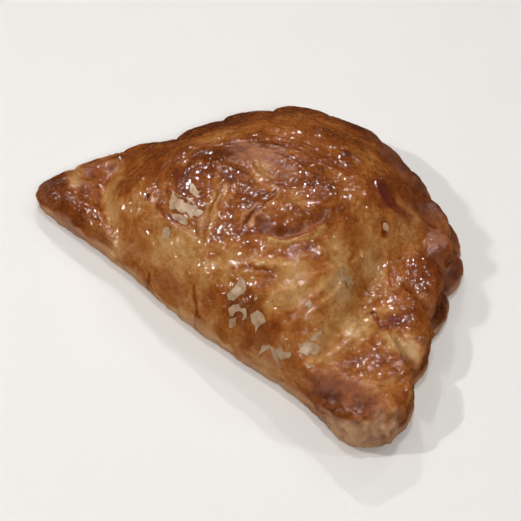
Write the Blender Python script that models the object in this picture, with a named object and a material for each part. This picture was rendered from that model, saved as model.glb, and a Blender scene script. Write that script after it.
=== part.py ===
"""Apple turnover: a half-moon of puff pastry, folded over its filling and crimped along its round edge.

The pastry is one closed solid, built at real size in metres. +Z is up and the underside lies on
z = 0. The straight fold runs along X on the -Y side, the crimped round edge is on the +Y side, and
the origin is at the middle of the underside's bounding box. Sizes in this file are in millimetres.
"""

import bmesh
import bpy
import numpy as np
from mathutils import Vector, noise
from mathutils.geometry import delaunay_2d_cdt

MM = 0.001

# Driving dimensions of the whole pastry.
LENGTH = 145.0
WIDTH = 95.0
DOME_HEIGHT = 33.5
DOME_POWER = 2.5
DOME_SOFTNESS = 1.1

# The crimp: a lower leaf that stands out past the top leaf, with a seam between them.
LOWER_LEAF = 5.2
SEAM_GAP = 0.6
SEAM_IN = 2.4
LOBE_PILLOW = 1.6
LOBE_SHOULDER = 7.0
NOTCH_IN = 3.6
NOTCH_WIDTH = 2.0
GROOVE_LENGTH = 15.0
GROOVE_DEPTH = 4.2
GROOVE_WIDTH = 2.2
FLANGE_PUFF = 1.6
FLANGE_DROP = 2.6

# The rolled fold: how far in its rounding reaches, and how high up its widest line is.
FOLD_ROUND = 11.0
FOLD_ROUND_POWER = 2.2
FOLD_WIDEST = 5.2

# The soft lumps that the fruit inside pushes up.
LUMP_SIZE = 17.0
LUMP_HEIGHT = 1.3

# Mesh fineness.
CURVE_STEPS = 60
COLUMN_STEP = 1.8
NET_STEP = 3.0
FLANGE_ROWS = 6
RING_SHARE = 0.25
UNDERSIDE_STEP = 9.0

# The lower leaf's outline in plan: the round edge from the left tip to the right tip, then the fold
# back to the left tip. One smooth closed curve runs through the points, and is then fitted to
# LENGTH and WIDTH with its middle at the origin.
ROUND_EDGE = (
    (-71.5, -39.0),
    (-65.5, -22.5),
    (-54.0, 0.5),
    (-45.0, 23.0),
    (-29.0, 41.5),
    (-1.0, 48.0),
    (25.5, 41.5),
    (46.5, 30.5),
    (55.5, 11.0),
    (62.5, -9.0),
    (70.0, -28.0),
    (71.5, -37.0),
)
FOLD_EDGE = (
    (67.5, -44.5),
    (58.5, -47.2),
    (38.0, -45.6),
    (5.0, -47.6),
    (-34.0, -45.6),
    (-66.0, -45.5),
)
CENTRE = np.array([1.0, -8.0])

# Where the crimping knife was pressed: the share of the round edge, from the left tip to the right
# tip, and how hard it was pressed.
NOTCHES = (
    (0.036, 0.35),
    (0.105, 0.35),
    (0.182, 0.45),
    (0.25, 0.4),
    (0.33, 0.35),
    (0.421, 0.4),
    (0.516, 0.35),
    (0.581, 0.35),
    (0.635, 0.5),
    (0.704, 0.7),
    (0.763, 0.85),
    (0.842, 1.0),
    (0.922, 1.0),
)

# How the pastry changes round its edge: angle in degrees about CENTRE (0 is +X, 90 is +Y), how far
# out the filled dome reaches as a share of the way to the edge, the height of the edge, and how far
# the lower leaf stands out past the top leaf.
AROUND = (
    (-155.0, 0.70, 10.0, 1.5),
    (-142.0, 0.82, 12.0, 1.5),
    (-125.0, 1.02, 14.0, 1.5),
    (-90.0, 1.12, 16.0, 1.5),
    (-50.0, 1.05, 14.0, 1.5),
    (-30.0, 0.74, 12.0, 2.0),
    (-10.0, 0.62, 10.5, 3.2),
    (15.0, 0.58, 10.5, 3.8),
    (45.0, 0.60, 11.5, 3.6),
    (70.0, 0.72, 12.5, 3.0),
    (90.0, 0.84, 12.2, 2.6),
    (135.0, 0.87, 10.8, 2.2),
    (180.0, 0.78, 10.0, 1.8),
)

# Folds and hollows of the upper crust: the line each one follows in plan, its half-width, and its
# height, which is below zero for a furrow.
CREASES = (
    # The valley behind the left flap.
    (((-55.0, -28.0), (-45.0, -36.0), (-33.0, -44.0)), 3.6, -2.2),
    # The valley between the filling and the right flange, and the fold beside it.
    (((25.0, 16.0), (31.0, 4.0), (35.0, -5.0), (38.5, -14.0), (42.0, -25.0), (46.0, -36.0)), 3.0, -2.4),
    (((45.0, -15.0), (48.5, -24.0), (49.5, -35.0)), 2.2, 1.4),
    # The round blister on top, with the crescent furrow that runs round it.
    (((10.0, -14.0), (13.0, -11.0)), 5.5, 1.8),
    (((3.5, -6.0), (3.5, -19.0), (7.0, -25.0), (14.0, -24.0), (19.5, -18.0), (21.0, -7.0)), 2.2, -2.4),
    # The shallow hollow behind the blister.
    (((-9.0, -4.0), (0.0, -4.0)), 6.0, -1.6),
    # Long wrinkles that run from the fold up over the filling.
    (((-3.0, -42.0), (8.0, -33.5), (22.0, -25.0)), 2.4, 1.1),
    (((-30.0, -38.0), (-16.0, -34.0), (0.0, -33.0)), 2.6, 1.0),
    (((-12.0, -16.0), (-8.5, -24.0), (-5.0, -32.0)), 2.2, 1.0),
    (((22.0, -33.0), (29.0, -24.0), (32.0, -13.0)), 2.6, 1.2),
)


def smooth_step(value):
    """0 below 0, 1 above 1 and an S-curve between."""
    t = np.clip(value, 0.0, 1.0)
    return t * t * (3.0 - 2.0 * t)


def closed_curve(points, steps):
    """A closed Catmull-Rom curve through points, with steps samples on each of its spans."""
    p = np.array(points)
    t = (np.arange(steps) / steps)[:, None]
    spans = []
    for i in range(len(p)):
        a, b, c, d = (p[(i + k) % len(p)] for k in (-1, 0, 1, 2))
        spans.append(
            0.5 * (2 * b + (c - a) * t + (2 * a - 5 * b + 4 * c - d) * t**2 + (3 * b - 3 * c + d - a) * t**3)
        )
    return np.concatenate(spans)


def outline_columns():
    """Points at even steps round the outline, and each one's share along the round edge.

    The share is below 0 or above 1 on the fold, so that it also tells which side a column is on."""
    fine = closed_curve(ROUND_EDGE + FOLD_EDGE, CURVE_STEPS)
    low, high = fine.min(axis=0), fine.max(axis=0)
    fine = (fine - (low + high) / 2.0) * (LENGTH, WIDTH) / (high - low)
    steps = np.linalg.norm(np.diff(fine, axis=0, append=fine[:1]), axis=1)
    around = np.concatenate([[0.0], np.cumsum(steps)])
    round_length = around[(len(ROUND_EDGE) - 1) * CURVE_STEPS]
    count = round(around[-1] / COLUMN_STEP)
    at = np.arange(count) / count * around[-1]
    closed = np.vstack([fine, fine[:1]])
    points = np.c_[np.interp(at, around, closed[:, 0]), np.interp(at, around, closed[:, 1])]
    return points, at / round_length, round_length, fine


OUTLINE, SHARE, ROUND_LENGTH, FINE_OUTLINE = outline_columns()


def polar(xy):
    """Angle in degrees about CENTRE and distance from it."""
    d = xy - CENTRE
    return np.degrees(np.arctan2(d[:, 1], d[:, 0])), np.hypot(d[:, 0], d[:, 1])


def by_angle(angle, angles, values):
    """Values given at some angles, joined smoothly all the way round."""
    order = np.argsort(angles)
    a, v = np.array(angles)[order], np.array(values)[order]
    a = np.concatenate([[a[-1] - 360.0], a, [a[0] + 360.0]])
    v = np.concatenate([[v[-1]], v, [v[0]]])
    i = np.clip(np.searchsorted(a, angle) - 1, 0, len(a) - 2)
    t = smooth_step((angle - a[i]) / (a[i + 1] - a[i]))
    return v[i] * (1.0 - t) + v[i + 1] * t


def edge_distance_table():
    """The outline as angles about CENTRE, in rising order, and the distance to the edge at each."""
    angle, distance = polar(FINE_OUTLINE)
    order = np.argsort(angle)
    return angle[order], distance[order]


EDGE_ANGLE, EDGE_DISTANCE = edge_distance_table()


def roundness():
    """For each column: 1 on the crimped round edge, 0 on the fold, blended at the tips."""
    blend = 0.035
    middle = 0.5 + 0.5 * SHARE[-1]
    share = np.where(SHARE > middle, SHARE - SHARE[-1] - (SHARE[1] - SHARE[0]), SHARE)
    return smooth_step((share + blend) / blend) * smooth_step((1.0 + blend - share) / blend)


def to_line(xy, line):
    """Distance in plan from each point to a line of straight pieces."""
    line = np.array(line)
    best = np.full(len(xy), np.inf)
    for a, b in zip(line, line[1:]):
        along = np.clip(((xy - a) @ (b - a)) / ((b - a) @ (b - a)), 0.0, 1.0)
        best = np.minimum(best, np.linalg.norm(xy - a - along[:, None] * (b - a), axis=1))
    return best


def crust_height(xy):
    """Height of the pastry's upper face before crimping: filled dome, flange, lumps and creases."""
    angle, distance = polar(xy)
    share = distance / np.interp(angle, EDGE_ANGLE, EDGE_DISTANCE, period=360.0)
    angles, reaches, edges, _ = zip(*AROUND)
    edge, reach = by_angle(angle, angles, edges), by_angle(angle, angles, reaches)
    flange = np.clip((share - reach) / np.maximum(1.0 - reach, 0.1), 0.0, 1.0)
    root = edge + FLANGE_DROP * (1.0 - flange)
    dome = (1.0 - np.clip(share / reach, 0.0, 1.0) ** DOME_POWER) ** DOME_SOFTNESS
    height = root + (DOME_HEIGHT - root) * dome + FLANGE_PUFF * np.sin(np.pi * flange)
    for line, half_width, rise in CREASES:
        height += rise * np.exp(-((to_line(xy, line) / half_width) ** 2))
    lumps = [noise.noise(Vector((x / LUMP_SIZE, y / LUMP_SIZE, 0.0))) for x, y in xy]
    return height + LUMP_HEIGHT * np.array(lumps)


def nearest_notch(share):
    """How far the nearest notch is along the edge, and how hard the crimp is pressed there."""
    places, strengths = (np.array(column) for column in zip(*NOTCHES))
    away = np.abs(share[:, None] - places).min(axis=1) * ROUND_LENGTH
    return away, np.interp(share, places, strengths)


def crimp(share, inward):
    """What the crimping adds to the flange's height: pillowed lobes with a groove at each notch."""
    near, strength = nearest_notch(share)
    fade = smooth_step(1.0 - inward / GROOVE_LENGTH)
    groove = GROOVE_DEPTH * np.exp(-((near / GROOVE_WIDTH) ** 2))
    return (LOBE_PILLOW * smooth_step(near / LOBE_SHOULDER) - groove) * strength * fade


def notch_inset(share):
    """How far the outline steps in at a notch."""
    near, strength = nearest_notch(share)
    return NOTCH_IN * strength * np.exp(-near / NOTCH_WIDTH)


def fold_rise(inward):
    """The rounding of the rolled fold: 0 at its outer line, 1 where it runs into the crust on top."""
    left = 1.0 - np.clip(inward / FOLD_ROUND, 0.0, 1.0)
    return (1.0 - left**FOLD_ROUND_POWER) ** (1.0 / FOLD_ROUND_POWER)


def toward_centre(points, inward):
    """Points moved toward CENTRE by a distance, one for each point."""
    d = CENTRE - points
    return points + d / np.linalg.norm(d, axis=1)[:, None] * np.asarray(inward)[:, None]


def rim_rows():
    """The closed wall of the pastry, row by row from the flange down to the underside."""
    crimped = roundness()
    folded = 1.0 - crimped
    inset = notch_inset(SHARE) * crimped
    angle, reach = polar(OUTLINE)
    angles, _, _, steps = zip(*AROUND)
    step = by_angle(angle, angles, steps) * crimped
    rows = []
    for k in range(FLANGE_ROWS, 0, -1):
        part_way = k / FLANGE_ROWS
        inward = part_way * RING_SHARE * reach
        smooth_edge = toward_centre(OUTLINE, step + inset * (1.0 - part_way) ** 2)
        xy = toward_centre(smooth_edge, inward)
        crimp_z = crust_height(xy) + crimp(SHARE, inward)
        fold_z = FOLD_WIDEST + (crust_height(xy) - FOLD_WIDEST) * fold_rise(inward)
        rows.append(np.c_[xy, crimp_z * crimped + fold_z * folded])
    lower = toward_centre(OUTLINE, 0.8 * inset)
    upper = toward_centre(OUTLINE, inset + step)
    top = crust_height(upper)
    crimp_top = top + crimp(SHARE, np.zeros(len(upper)))
    seam = LOWER_LEAF + SEAM_GAP
    lip = crimp_top - seam
    # Each row: the edge it follows on a crimped column, how far in from that edge, how high, and
    # the same two for a column on the fold, whose heights are shares of its widest line's height
    # or, above that, rises toward the crust.
    profile = (
        (upper, 0.9, seam + 0.94 * lip, 0.9, None),
        (upper, 0.1, seam + 0.72 * lip, 0.4, None),
        (upper, 0.0, seam + 0.42 * lip, 0.1, None),
        (upper, 0.7, seam + 0.12 * lip, 0.0, 1.0),
        (upper, SEAM_IN, seam - 0.2, 0.1, 0.76),
        (lower, 0.72 * step, LOWER_LEAF - 0.1, 0.4, 0.52),
        (lower, 1.0, LOWER_LEAF - 0.7, 0.9, 0.32),
        (lower, 0.0, LOWER_LEAF * 0.5, 1.6, 0.16),
        (lower, 0.7, LOWER_LEAF * 0.12, 2.5, 0.05),
        (lower, 2.2, 0.0, 3.8, 0.0),
    )
    for edge, crimp_in, crimp_z, fold_in, fold_share in profile:
        crimp_xy = toward_centre(edge, crimp_in * np.ones(len(edge)))
        fold_xy = toward_centre(OUTLINE, fold_in * np.ones(len(edge)))
        xy = crimp_xy * crimped[:, None] + fold_xy * folded[:, None]
        if fold_share is None:
            fold_z = FOLD_WIDEST + (top - FOLD_WIDEST) * fold_rise(fold_in)
        else:
            fold_z = FOLD_WIDEST * fold_share
        rows.append(np.c_[xy, crimp_z * crimped + fold_z * folded])
    return rows


def net_inside(ring, step):
    """An even net of triangles inside a closed ring of plan points. Returns (inner points, triangles)."""
    low, high = ring.min(axis=0), ring.max(axis=0)
    rows = np.arange(low[1] + step / 2, high[1], step * 0.866)
    inner = []
    edge_angle, edge_distance = polar(ring)
    order = np.argsort(edge_angle)
    for k, y in enumerate(rows):
        x = np.arange(low[0] + (k % 2) * step / 2, high[0], step)
        xy = np.c_[x, np.full(len(x), y)]
        angle, distance = polar(xy)
        limit = np.interp(angle, edge_angle[order], edge_distance[order], period=360.0)
        inner.append(xy[distance < limit - 0.55 * step])
    inner = np.concatenate(inner)
    every = [Vector(p) for p in np.concatenate([ring, inner])]
    edges = [(i, (i + 1) % len(ring)) for i in range(len(ring))]
    _, _, faces, sources, _, _ = delaunay_2d_cdt(every, edges, [], 1, 1e-6)
    return inner, [[sources[v][0] for v in face] for face in faces]


def crust_mesh():
    """One closed mesh: a net on top, the rim's rows, and a coarser net underneath."""
    rows = rim_rows()
    count = len(OUTLINE)
    top_points, top_faces = net_inside(rows[0][:, :2], NET_STEP)
    base_points, base_faces = net_inside(rows[-1][:, :2], UNDERSIDE_STEP)
    bm = bmesh.new()
    rings = [[bm.verts.new(p * MM) for p in row] for row in rows]
    crown_points = np.c_[top_points, crust_height(top_points)]
    crown = [bm.verts.new(p * MM) for p in crown_points]
    base = [bm.verts.new((x * MM, y * MM, 0.0)) for x, y in base_points]
    for face in top_faces:
        bm.faces.new([rings[0][i] if i < count else crown[i - count] for i in face])
    for upper, lower in zip(rings, rings[1:]):
        for i in range(count):
            j = (i + 1) % count
            bm.faces.new((upper[i], upper[j], lower[j], lower[i]))
    for face in base_faces:
        bm.faces.new([rings[-1][i] if i < count else base[i - count] for i in reversed(face)])
    bmesh.ops.recalc_face_normals(bm, faces=bm.faces)
    mesh = bpy.data.meshes.new("turnover")
    bm.to_mesh(mesh)
    bm.free()
    mesh.shade_smooth()
    return mesh


def crust_material():
    """Egg-washed puff pastry, baked golden brown."""
    material = bpy.data.materials.new("baked_crust")
    material.use_nodes = True
    shader = material.node_tree.nodes["Principled BSDF"]
    shader.inputs["Base Color"].default_value = (0.38, 0.15, 0.04, 1.0)
    shader.inputs["Roughness"].default_value = 0.4
    shader.inputs["Metallic"].default_value = 0.0
    return material


def main():
    for obj in list(bpy.data.objects):
        bpy.data.objects.remove(obj)
    parts = bpy.data.collections.new("apple_turnover")
    bpy.context.scene.collection.children.link(parts)
    turnover = bpy.data.objects.new("turnover", crust_mesh())
    turnover.data.materials.append(crust_material())
    parts.objects.link(turnover)


main()
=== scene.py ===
# %% [markdown]
# # The looks of an apple turnover
#
# A turnover is a disc of puff pastry folded over stewed apple. Its round edge is crimped shut
# with a knife, the top is brushed with egg and syrup, and the oven browns it unevenly. The plain
# solid that the physics uses is loaded first. It fixes the size and the place of everything that
# follows.

# %% Load the solid pastry
import itertools
import math

import bpy
import numpy as np
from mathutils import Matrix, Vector
from mathutils.bvhtree import BVHTree
from mathutils.geometry import delaunay_2d_cdt


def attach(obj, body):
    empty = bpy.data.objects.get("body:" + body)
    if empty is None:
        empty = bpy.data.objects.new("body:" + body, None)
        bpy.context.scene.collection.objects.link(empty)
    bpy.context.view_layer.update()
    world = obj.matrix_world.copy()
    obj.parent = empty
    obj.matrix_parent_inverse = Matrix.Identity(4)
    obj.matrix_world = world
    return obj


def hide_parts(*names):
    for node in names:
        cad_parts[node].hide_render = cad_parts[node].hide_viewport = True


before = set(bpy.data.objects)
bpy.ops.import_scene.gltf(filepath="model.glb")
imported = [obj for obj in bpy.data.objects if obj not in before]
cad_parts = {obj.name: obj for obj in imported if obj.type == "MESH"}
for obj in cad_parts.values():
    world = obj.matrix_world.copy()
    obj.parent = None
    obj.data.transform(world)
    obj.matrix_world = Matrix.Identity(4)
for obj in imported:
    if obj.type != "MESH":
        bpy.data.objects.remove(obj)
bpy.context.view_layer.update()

MM = 0.001

# %% [markdown]
# ## Where we look from
#
# The camera looks down on the pastry from its right front, about as a customer leans over a
# counter. A camera is easiest to place by what it looks at: a target, a heading, an elevation and
# a distance. The picture is square and 521 pixels wide, and a focal length in pixels turns into
# millimetres of lens with the sensor's width.

# %% Camera
TARGET = Vector((-1.48, -12.39, 0.0)) * MM
HEADING = Vector((-0.673, 0.7396, 0.0)).normalized()
ELEVATION = math.radians(50.0)
DISTANCE = 404.7 * MM
FOCAL_PIXELS = 1292.0
PICTURE_PIXELS = 521.0
SENSOR = 36.0

camera = bpy.data.objects.new("camera", bpy.data.cameras.new("camera"))
bpy.context.scene.collection.objects.link(camera)
looking = HEADING * math.cos(ELEVATION) + Vector((0.0, 0.0, -math.sin(ELEVATION)))
camera.location = TARGET - looking * DISTANCE
camera.rotation_euler = looking.to_track_quat("-Z", "Y").to_euler()
camera.data.sensor_width = SENSOR
camera.data.lens = FOCAL_PIXELS / PICTURE_PIXELS * SENSOR
camera.data.clip_start = 0.01
bpy.context.scene.camera = camera
print("camera stands", round(camera.location.z, 3), "m up, lens", round(camera.data.lens, 1), "mm")

# %% [markdown]
# ## Light
#
# Six soft lamps round the pastry and a pale sky light its colours. They don't show in the glaze,
# because broad reflections would lie over it as a grey haze. Six small lamps do the opposite:
# they show only in the glaze, where each bump catches one as a sharp glint. The floor is a plain
# pale sheet, and isn't part of the object.

# %% Lamps
def lamp(name, place, size, power, colour):
    """A square area lamp that points at the pastry."""
    made = bpy.data.objects.new(name, bpy.data.lights.new(name, "AREA"))
    bpy.context.scene.collection.objects.link(made)
    made.data.size = size
    made.data.energy = power
    made.data.color = colour
    made.location = place
    made.rotation_euler = (TARGET - made.location).to_track_quat("-Z", "Y").to_euler()
    return made


LAMP_SIZE = 0.02
LAMP_COLOUR = (1.0, 0.975, 0.94)
LAMPS = {
    "back_left": ((-0.33, 0.28, 0.42), 0.6864),
    "back": ((-0.05, 0.42, 0.45), 0.2288),
    "back_right": ((0.36, 0.24, 0.45), 0.3952),
    "front_right": ((0.36, -0.26, 0.45), 0.9152),
    "front_left": ((-0.28, -0.36, 0.45), 1.2688),
    "overhead": ((0.0, 0.0, 0.60), 0.6448),
}
for name, (place, power) in LAMPS.items():
    lamp(name, Vector(place), LAMP_SIZE, power, LAMP_COLOUR).visible_glossy = False

GLINT_SIZE = 0.016
GLINT_COLOUR = (1.0, 0.98, 0.97)
GLINTS = {
    "glint_left": ((-0.34, 0.12, 0.42), 1.5),
    "glint_back": ((-0.16, 0.34, 0.46), 1.2),
    "glint_front": ((-0.16, -0.20, 0.60), 2.0),
    "glint_over": ((0.04, 0.26, 0.50), 1.1),
    "glint_low": ((-0.33, -0.25, 0.38), 1.6),
    "glint_fold": ((-0.26, -0.43, 0.33), 1.6),
}
for name, (place, power) in GLINTS.items():
    lamp(name, Vector(place), GLINT_SIZE, power, GLINT_COLOUR).visible_diffuse = False
print(len(LAMPS), "soft lamps and", len(GLINTS), "small ones for the glints")

# %% [markdown]
# ## Sky and floor
#
# The sky is bright overhead and dim at the horizon, as in a room with a lit ceiling, so the
# pastry's sides stay darker than its top. The ramp reads how far up a direction points.

# %% Sky and floor
SKY_STRENGTH = 0.24
HORIZON = (0.10, 0.098, 0.095, 1.0)
OVERHEAD = (1.0, 0.96, 0.90, 1.0)
sky = bpy.data.worlds.new("sky")
bpy.context.scene.world = sky
sky.use_nodes = True
background = sky.node_tree.nodes["Background"]
background.inputs["Strength"].default_value = SKY_STRENGTH
upward = sky.node_tree.nodes.new("ShaderNodeSeparateXYZ")
direction = sky.node_tree.nodes.new("ShaderNodeTexCoord")
fade = sky.node_tree.nodes.new("ShaderNodeValToRGB")
fade.color_ramp.elements[0].position = 0.15
fade.color_ramp.elements[0].color = HORIZON
fade.color_ramp.elements[1].color = OVERHEAD
sky.node_tree.links.new(direction.outputs["Generated"], upward.inputs[0])
sky.node_tree.links.new(upward.outputs["Z"], fade.inputs["Fac"])
sky.node_tree.links.new(fade.outputs["Color"], background.inputs["Color"])

FLOOR_SIZE = 3.0
FLOOR_COLOUR = (0.86, 0.86, 0.86, 1.0)
floor_mesh = bpy.data.meshes.new("floor")
corners = [(x * FLOOR_SIZE, y * FLOOR_SIZE, 0.0) for x, y in ((-1, -1), (1, -1), (1, 1), (-1, 1))]
floor_mesh.from_pydata(corners, [], [(0, 1, 2, 3)])
floor = bpy.data.objects.new("floor", floor_mesh)
bpy.context.scene.collection.objects.link(floor)
floor_paint = bpy.data.materials.new("floor_paint")
floor_paint.use_nodes = True
floor_shader = floor_paint.node_tree.nodes["Principled BSDF"]
floor_shader.inputs["Base Color"].default_value = FLOOR_COLOUR
floor_shader.inputs["Roughness"].default_value = 0.9
floor_mesh.materials.append(floor_paint)
floor.visible_glossy = False
bpy.context.scene.view_settings.view_transform = "Standard"
print("floor of", 2 * FLOOR_SIZE, "m")

# %% [markdown]
# ## Random but repeatable
#
# Nothing on a pastry is even, so almost every shape and colour below is nudged by noise. This is
# gradient noise: each corner of a grid gets a random direction, and a point blends the slopes of
# its eight corners. Worked on whole arrays it is quick, and the seed makes it the same on each
# run.

# %% Noise
NOISE_GAIN = 1.7


def noise(points, size, seed):
    """Smooth random values, from about -1 to 1, that change over a distance of size."""
    chance = np.random.default_rng(seed)
    shuffle = chance.permutation(256)
    slopes = chance.normal(size=(256, 3))
    slopes /= np.linalg.norm(slopes, axis=1)[:, None]
    scaled = points / size + chance.uniform(0.0, 50.0, 3)
    cell = np.floor(scaled).astype(int)
    part = scaled - cell
    fade = part**3 * (part * (part * 6.0 - 15.0) + 10.0)
    total = np.zeros(len(points))
    for corner in itertools.product((0, 1), repeat=3):
        at = cell + corner
        slot = shuffle[at[:, 0] & 255]
        slot = shuffle[(slot + at[:, 1]) & 255]
        slot = shuffle[(slot + at[:, 2]) & 255]
        weight = np.where(corner, fade, 1.0 - fade).prod(axis=1)
        total += weight * ((part - corner) * slopes[slot]).sum(axis=1)
    return total * NOISE_GAIN


def smooth_step(value):
    """0 below 0, 1 above 1 and an S-curve between."""
    t = np.clip(value, 0.0, 1.0)
    return t * t * (3.0 - 2.0 * t)


def bell(value, width):
    """1 where value is 0, with a smooth fall over a width on both sides."""
    return np.exp(-((value / width) ** 2))


sample = noise(np.random.default_rng(1).uniform(0.0, 99.0, (1000, 3)), 5.0, 2)
print("noise runs from", round(sample.min(), 2), "to", round(sample.max(), 2))

# %% [markdown]
# ## The outline in plan
#
# The lower leaf of pastry sets the outline. One smooth closed curve runs through a few points, is
# fitted to the solid's length and width, and is cut into even steps, the columns of the mesh. The
# first points are the crimped round edge and the last ones the rolled fold, so a column's share
# of the way along the round edge also tells which of the two it is on. Sizes are in millimetres
# here.

# %% Outline
LENGTH = 145.0
WIDTH = 95.0
CURVE_STEPS = 60
COLUMN_STEP = 0.5
ROUND_EDGE = (
    (-71.5, -39.0), (-65.5, -22.5), (-54.0, 0.5), (-45.0, 23.0), (-29.0, 41.5), (-1.0, 48.0),
    (25.5, 41.5), (46.5, 30.5), (55.5, 11.0), (62.5, -9.0), (70.8, -28.0), (72.4, -34.5),
    (73.0, -39.2),
)
FOLD_EDGE = (
    (71.2, -41.6), (67.4, -45.6), (64.2, -47.6), (60.0, -47.6), (54.0, -46.6), (38.0, -45.6),
    (5.0, -47.6), (-34.0, -45.6), (-66.0, -45.5),
)
CENTRE = np.array([1.0, -8.0])


def smooth_through(a, b, c, d, t):
    """A Catmull-Rom piece: it runs from b to c as t runs from 0 to 1."""
    square = (2 * a - 5 * b + 4 * c - d) * t**2
    cube = (3 * b - 3 * c + d - a) * t**3
    return 0.5 * (2 * b + (c - a) * t + square + cube)


def closed_curve(points, steps):
    """A closed smooth curve through points, with steps samples on each of its spans."""
    p = np.array(points)
    t = (np.arange(steps) / steps)[:, None]
    near = [[p[(i + k) % len(p)] for k in (-1, 0, 1, 2)] for i in range(len(p))]
    return np.concatenate([smooth_through(*four, t) for four in near])


def outline_columns():
    """Points at even steps round the outline, and each one's share along the round edge."""
    fine = closed_curve(ROUND_EDGE + FOLD_EDGE, CURVE_STEPS)
    low, high = fine.min(axis=0), fine.max(axis=0)
    fine = (fine - (low + high) / 2.0) * (LENGTH, WIDTH) / (high - low)
    steps = np.linalg.norm(np.diff(fine, axis=0, append=fine[:1]), axis=1)
    run = np.concatenate([[0.0], np.cumsum(steps)])
    round_length = run[(len(ROUND_EDGE) - 1) * CURVE_STEPS]
    count = round(run[-1] / COLUMN_STEP)
    at = np.arange(count) / count * run[-1]
    closed = np.vstack([fine, fine[:1]])
    points = np.c_[np.interp(at, run, closed[:, 0]), np.interp(at, run, closed[:, 1])]
    return points, at / round_length, round_length


OUTLINE, SHARE, ROUND_LENGTH = outline_columns()
print(len(OUTLINE), "columns, round edge", round(ROUND_LENGTH), "mm")

# %% [markdown]
# ## Round the pastry by angle
#
# How far out the filling reaches, how high the edge stands and how far the lower leaf stands out
# all change round the pastry. They are given at a few angles about a centre and joined smoothly.
# The same trick gives the outline's distance from the centre at any angle.

# %% Values by angle
# Angle, reach of the filling, edge height, step of the lower leaf, rounding, widest height.
AROUND = (
    (-155.0, 0.72, 9.0, 1.2, 9.0, 4.2),
    (-142.0, 0.84, 11.0, 1.2, 14.0, 4.2),
    (-125.0, 1.02, 13.0, 1.2, 18.0, 4.2),
    (-90.0, 1.12, 15.5, 1.2, 20.0, 4.2),
    (-50.0, 1.05, 14.0, 1.2, 13.0, 4.6),
    (-38.0, 0.82, 13.6, 1.0, 5.5, 7.0),
    (-30.0, 0.70, 13.4, 1.4, 3.4, 7.5),
    (-22.0, 0.66, 12.4, 2.6, 2.4, 7.5),
    (-10.0, 0.62, 11.2, 3.4, 2.2, 7.5),
    (15.0, 0.66, 11.2, 4.2, 2.2, 7.5),
    (45.0, 0.82, 11.5, 4.0, 2.8, 7.5),
    (70.0, 0.92, 12.0, 2.8, 4.5, 7.5),
    (90.0, 0.95, 10.5, 2.2, 5.5, 7.5),
    (135.0, 0.97, 9.3, 1.4, 6.0, 7.5),
    (180.0, 0.92, 9.0, 1.2, 6.0, 4.2),
)
TIP_BLEND = 0.035


def around(angle):
    """Reach of the filling, edge height, step of the lower leaf, rounding and widest height."""
    angles, *columns = (np.array(column) for column in zip(*AROUND))
    return [by_angle(angle, angles, column) for column in columns]


def polar(xy):
    """Angle in degrees about CENTRE and distance from it."""
    d = xy - CENTRE
    return np.degrees(np.arctan2(d[:, 1], d[:, 0])), np.hypot(d[:, 0], d[:, 1])


def ring_reach(ring, angle):
    """How far a ring of plan points lies from CENTRE at some angles."""
    ring_angle, reach = polar(ring)
    return np.interp(angle, ring_angle, reach, period=360.0)


def by_angle(angle, angles, values):
    """Values given at some angles, joined smoothly all the way round."""
    a = np.concatenate([[angles[-1] - 360.0], angles, [angles[0] + 360.0]])
    v = np.concatenate([[values[-1]], values, [values[0]]])
    i = np.clip(np.searchsorted(a, angle) - 1, 0, len(a) - 2)
    t = smooth_step((angle - a[i]) / (a[i + 1] - a[i]))
    return v[i] * (1.0 - t) + v[i + 1] * t


def roundness():
    """For each column: 1 on the crimped round edge, 0 on the fold, blended at the tips."""
    middle = 0.5 + 0.5 * SHARE[-1]
    share = np.where(SHARE > middle, SHARE - SHARE[-1] - (SHARE[1] - SHARE[0]), SHARE)
    return smooth_step(share / TIP_BLEND) * smooth_step((1.0 - share) / TIP_BLEND)


COLUMN_ANGLE, COLUMN_REACH = polar(OUTLINE)
CRIMPED = roundness()


def at_edge(angle, values):
    """A value known at each column, read at other angles."""
    return np.interp(angle, COLUMN_ANGLE, values, period=360.0)


print("crimped columns:", int((CRIMPED > 0.5).sum()))

# %% [markdown]
# ## The crimps
#
# Each press of the knife leaves a groove, and the lobe before it slides a little under the next
# one, like shingles. So a groove is gentle on one side and steep on the other, with a thin dark
# crevice at the bottom. Between the grooves the flange swells into a pillow. Each press has its
# own strength and slant, because hands aren't machines.

# %% Crimps
# Share of the way along the round edge, strength and slant.
NOTCHES = (
    (0.036, 0.28, -0.1), (0.105, 0.18, 0.0), (0.182, 0.24, 0.1), (0.25, 0.2, -0.1),
    (0.33, 0.2, 0.1), (0.421, 0.22, 0.0), (0.516, 0.24, 0.1), (0.581, 0.3, 0.2),
    (0.635, 0.45, 0.3), (0.704, 0.75, 0.35), (0.77, 0.9, 0.45), (0.844, 1.05, 0.4),
    (0.92, 1.15, 0.1),
)
LOBE_PILLOW = 1.7
LOBE_SHOULDER = 7.0
LOBE_END = 8.0
GROOVE_DEPTH = 3.4
GROOVE_LENGTH = 15.5
GROOVE_END = 4.0
GENTLE_SIDE = 6.0
STEEP_SIDE = 0.8
CREVICE_DEPTH = 1.4
CREVICE_WIDTH = 0.5
NOTCH_IN = 3.6
NOTCH_SIDES = (2.6, 1.3)


def nearest_notch(share, inward):
    """Signed distance along the edge to the nearest groove, and how hard it is pressed there."""
    places, strengths, slants = (np.array(column) for column in zip(*NOTCHES))
    away = (share[:, None] - places) * ROUND_LENGTH + slants * inward[:, None]
    pick = np.abs(away).argmin(axis=1)
    return away[np.arange(len(away)), pick], np.interp(share, places, strengths)


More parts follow.
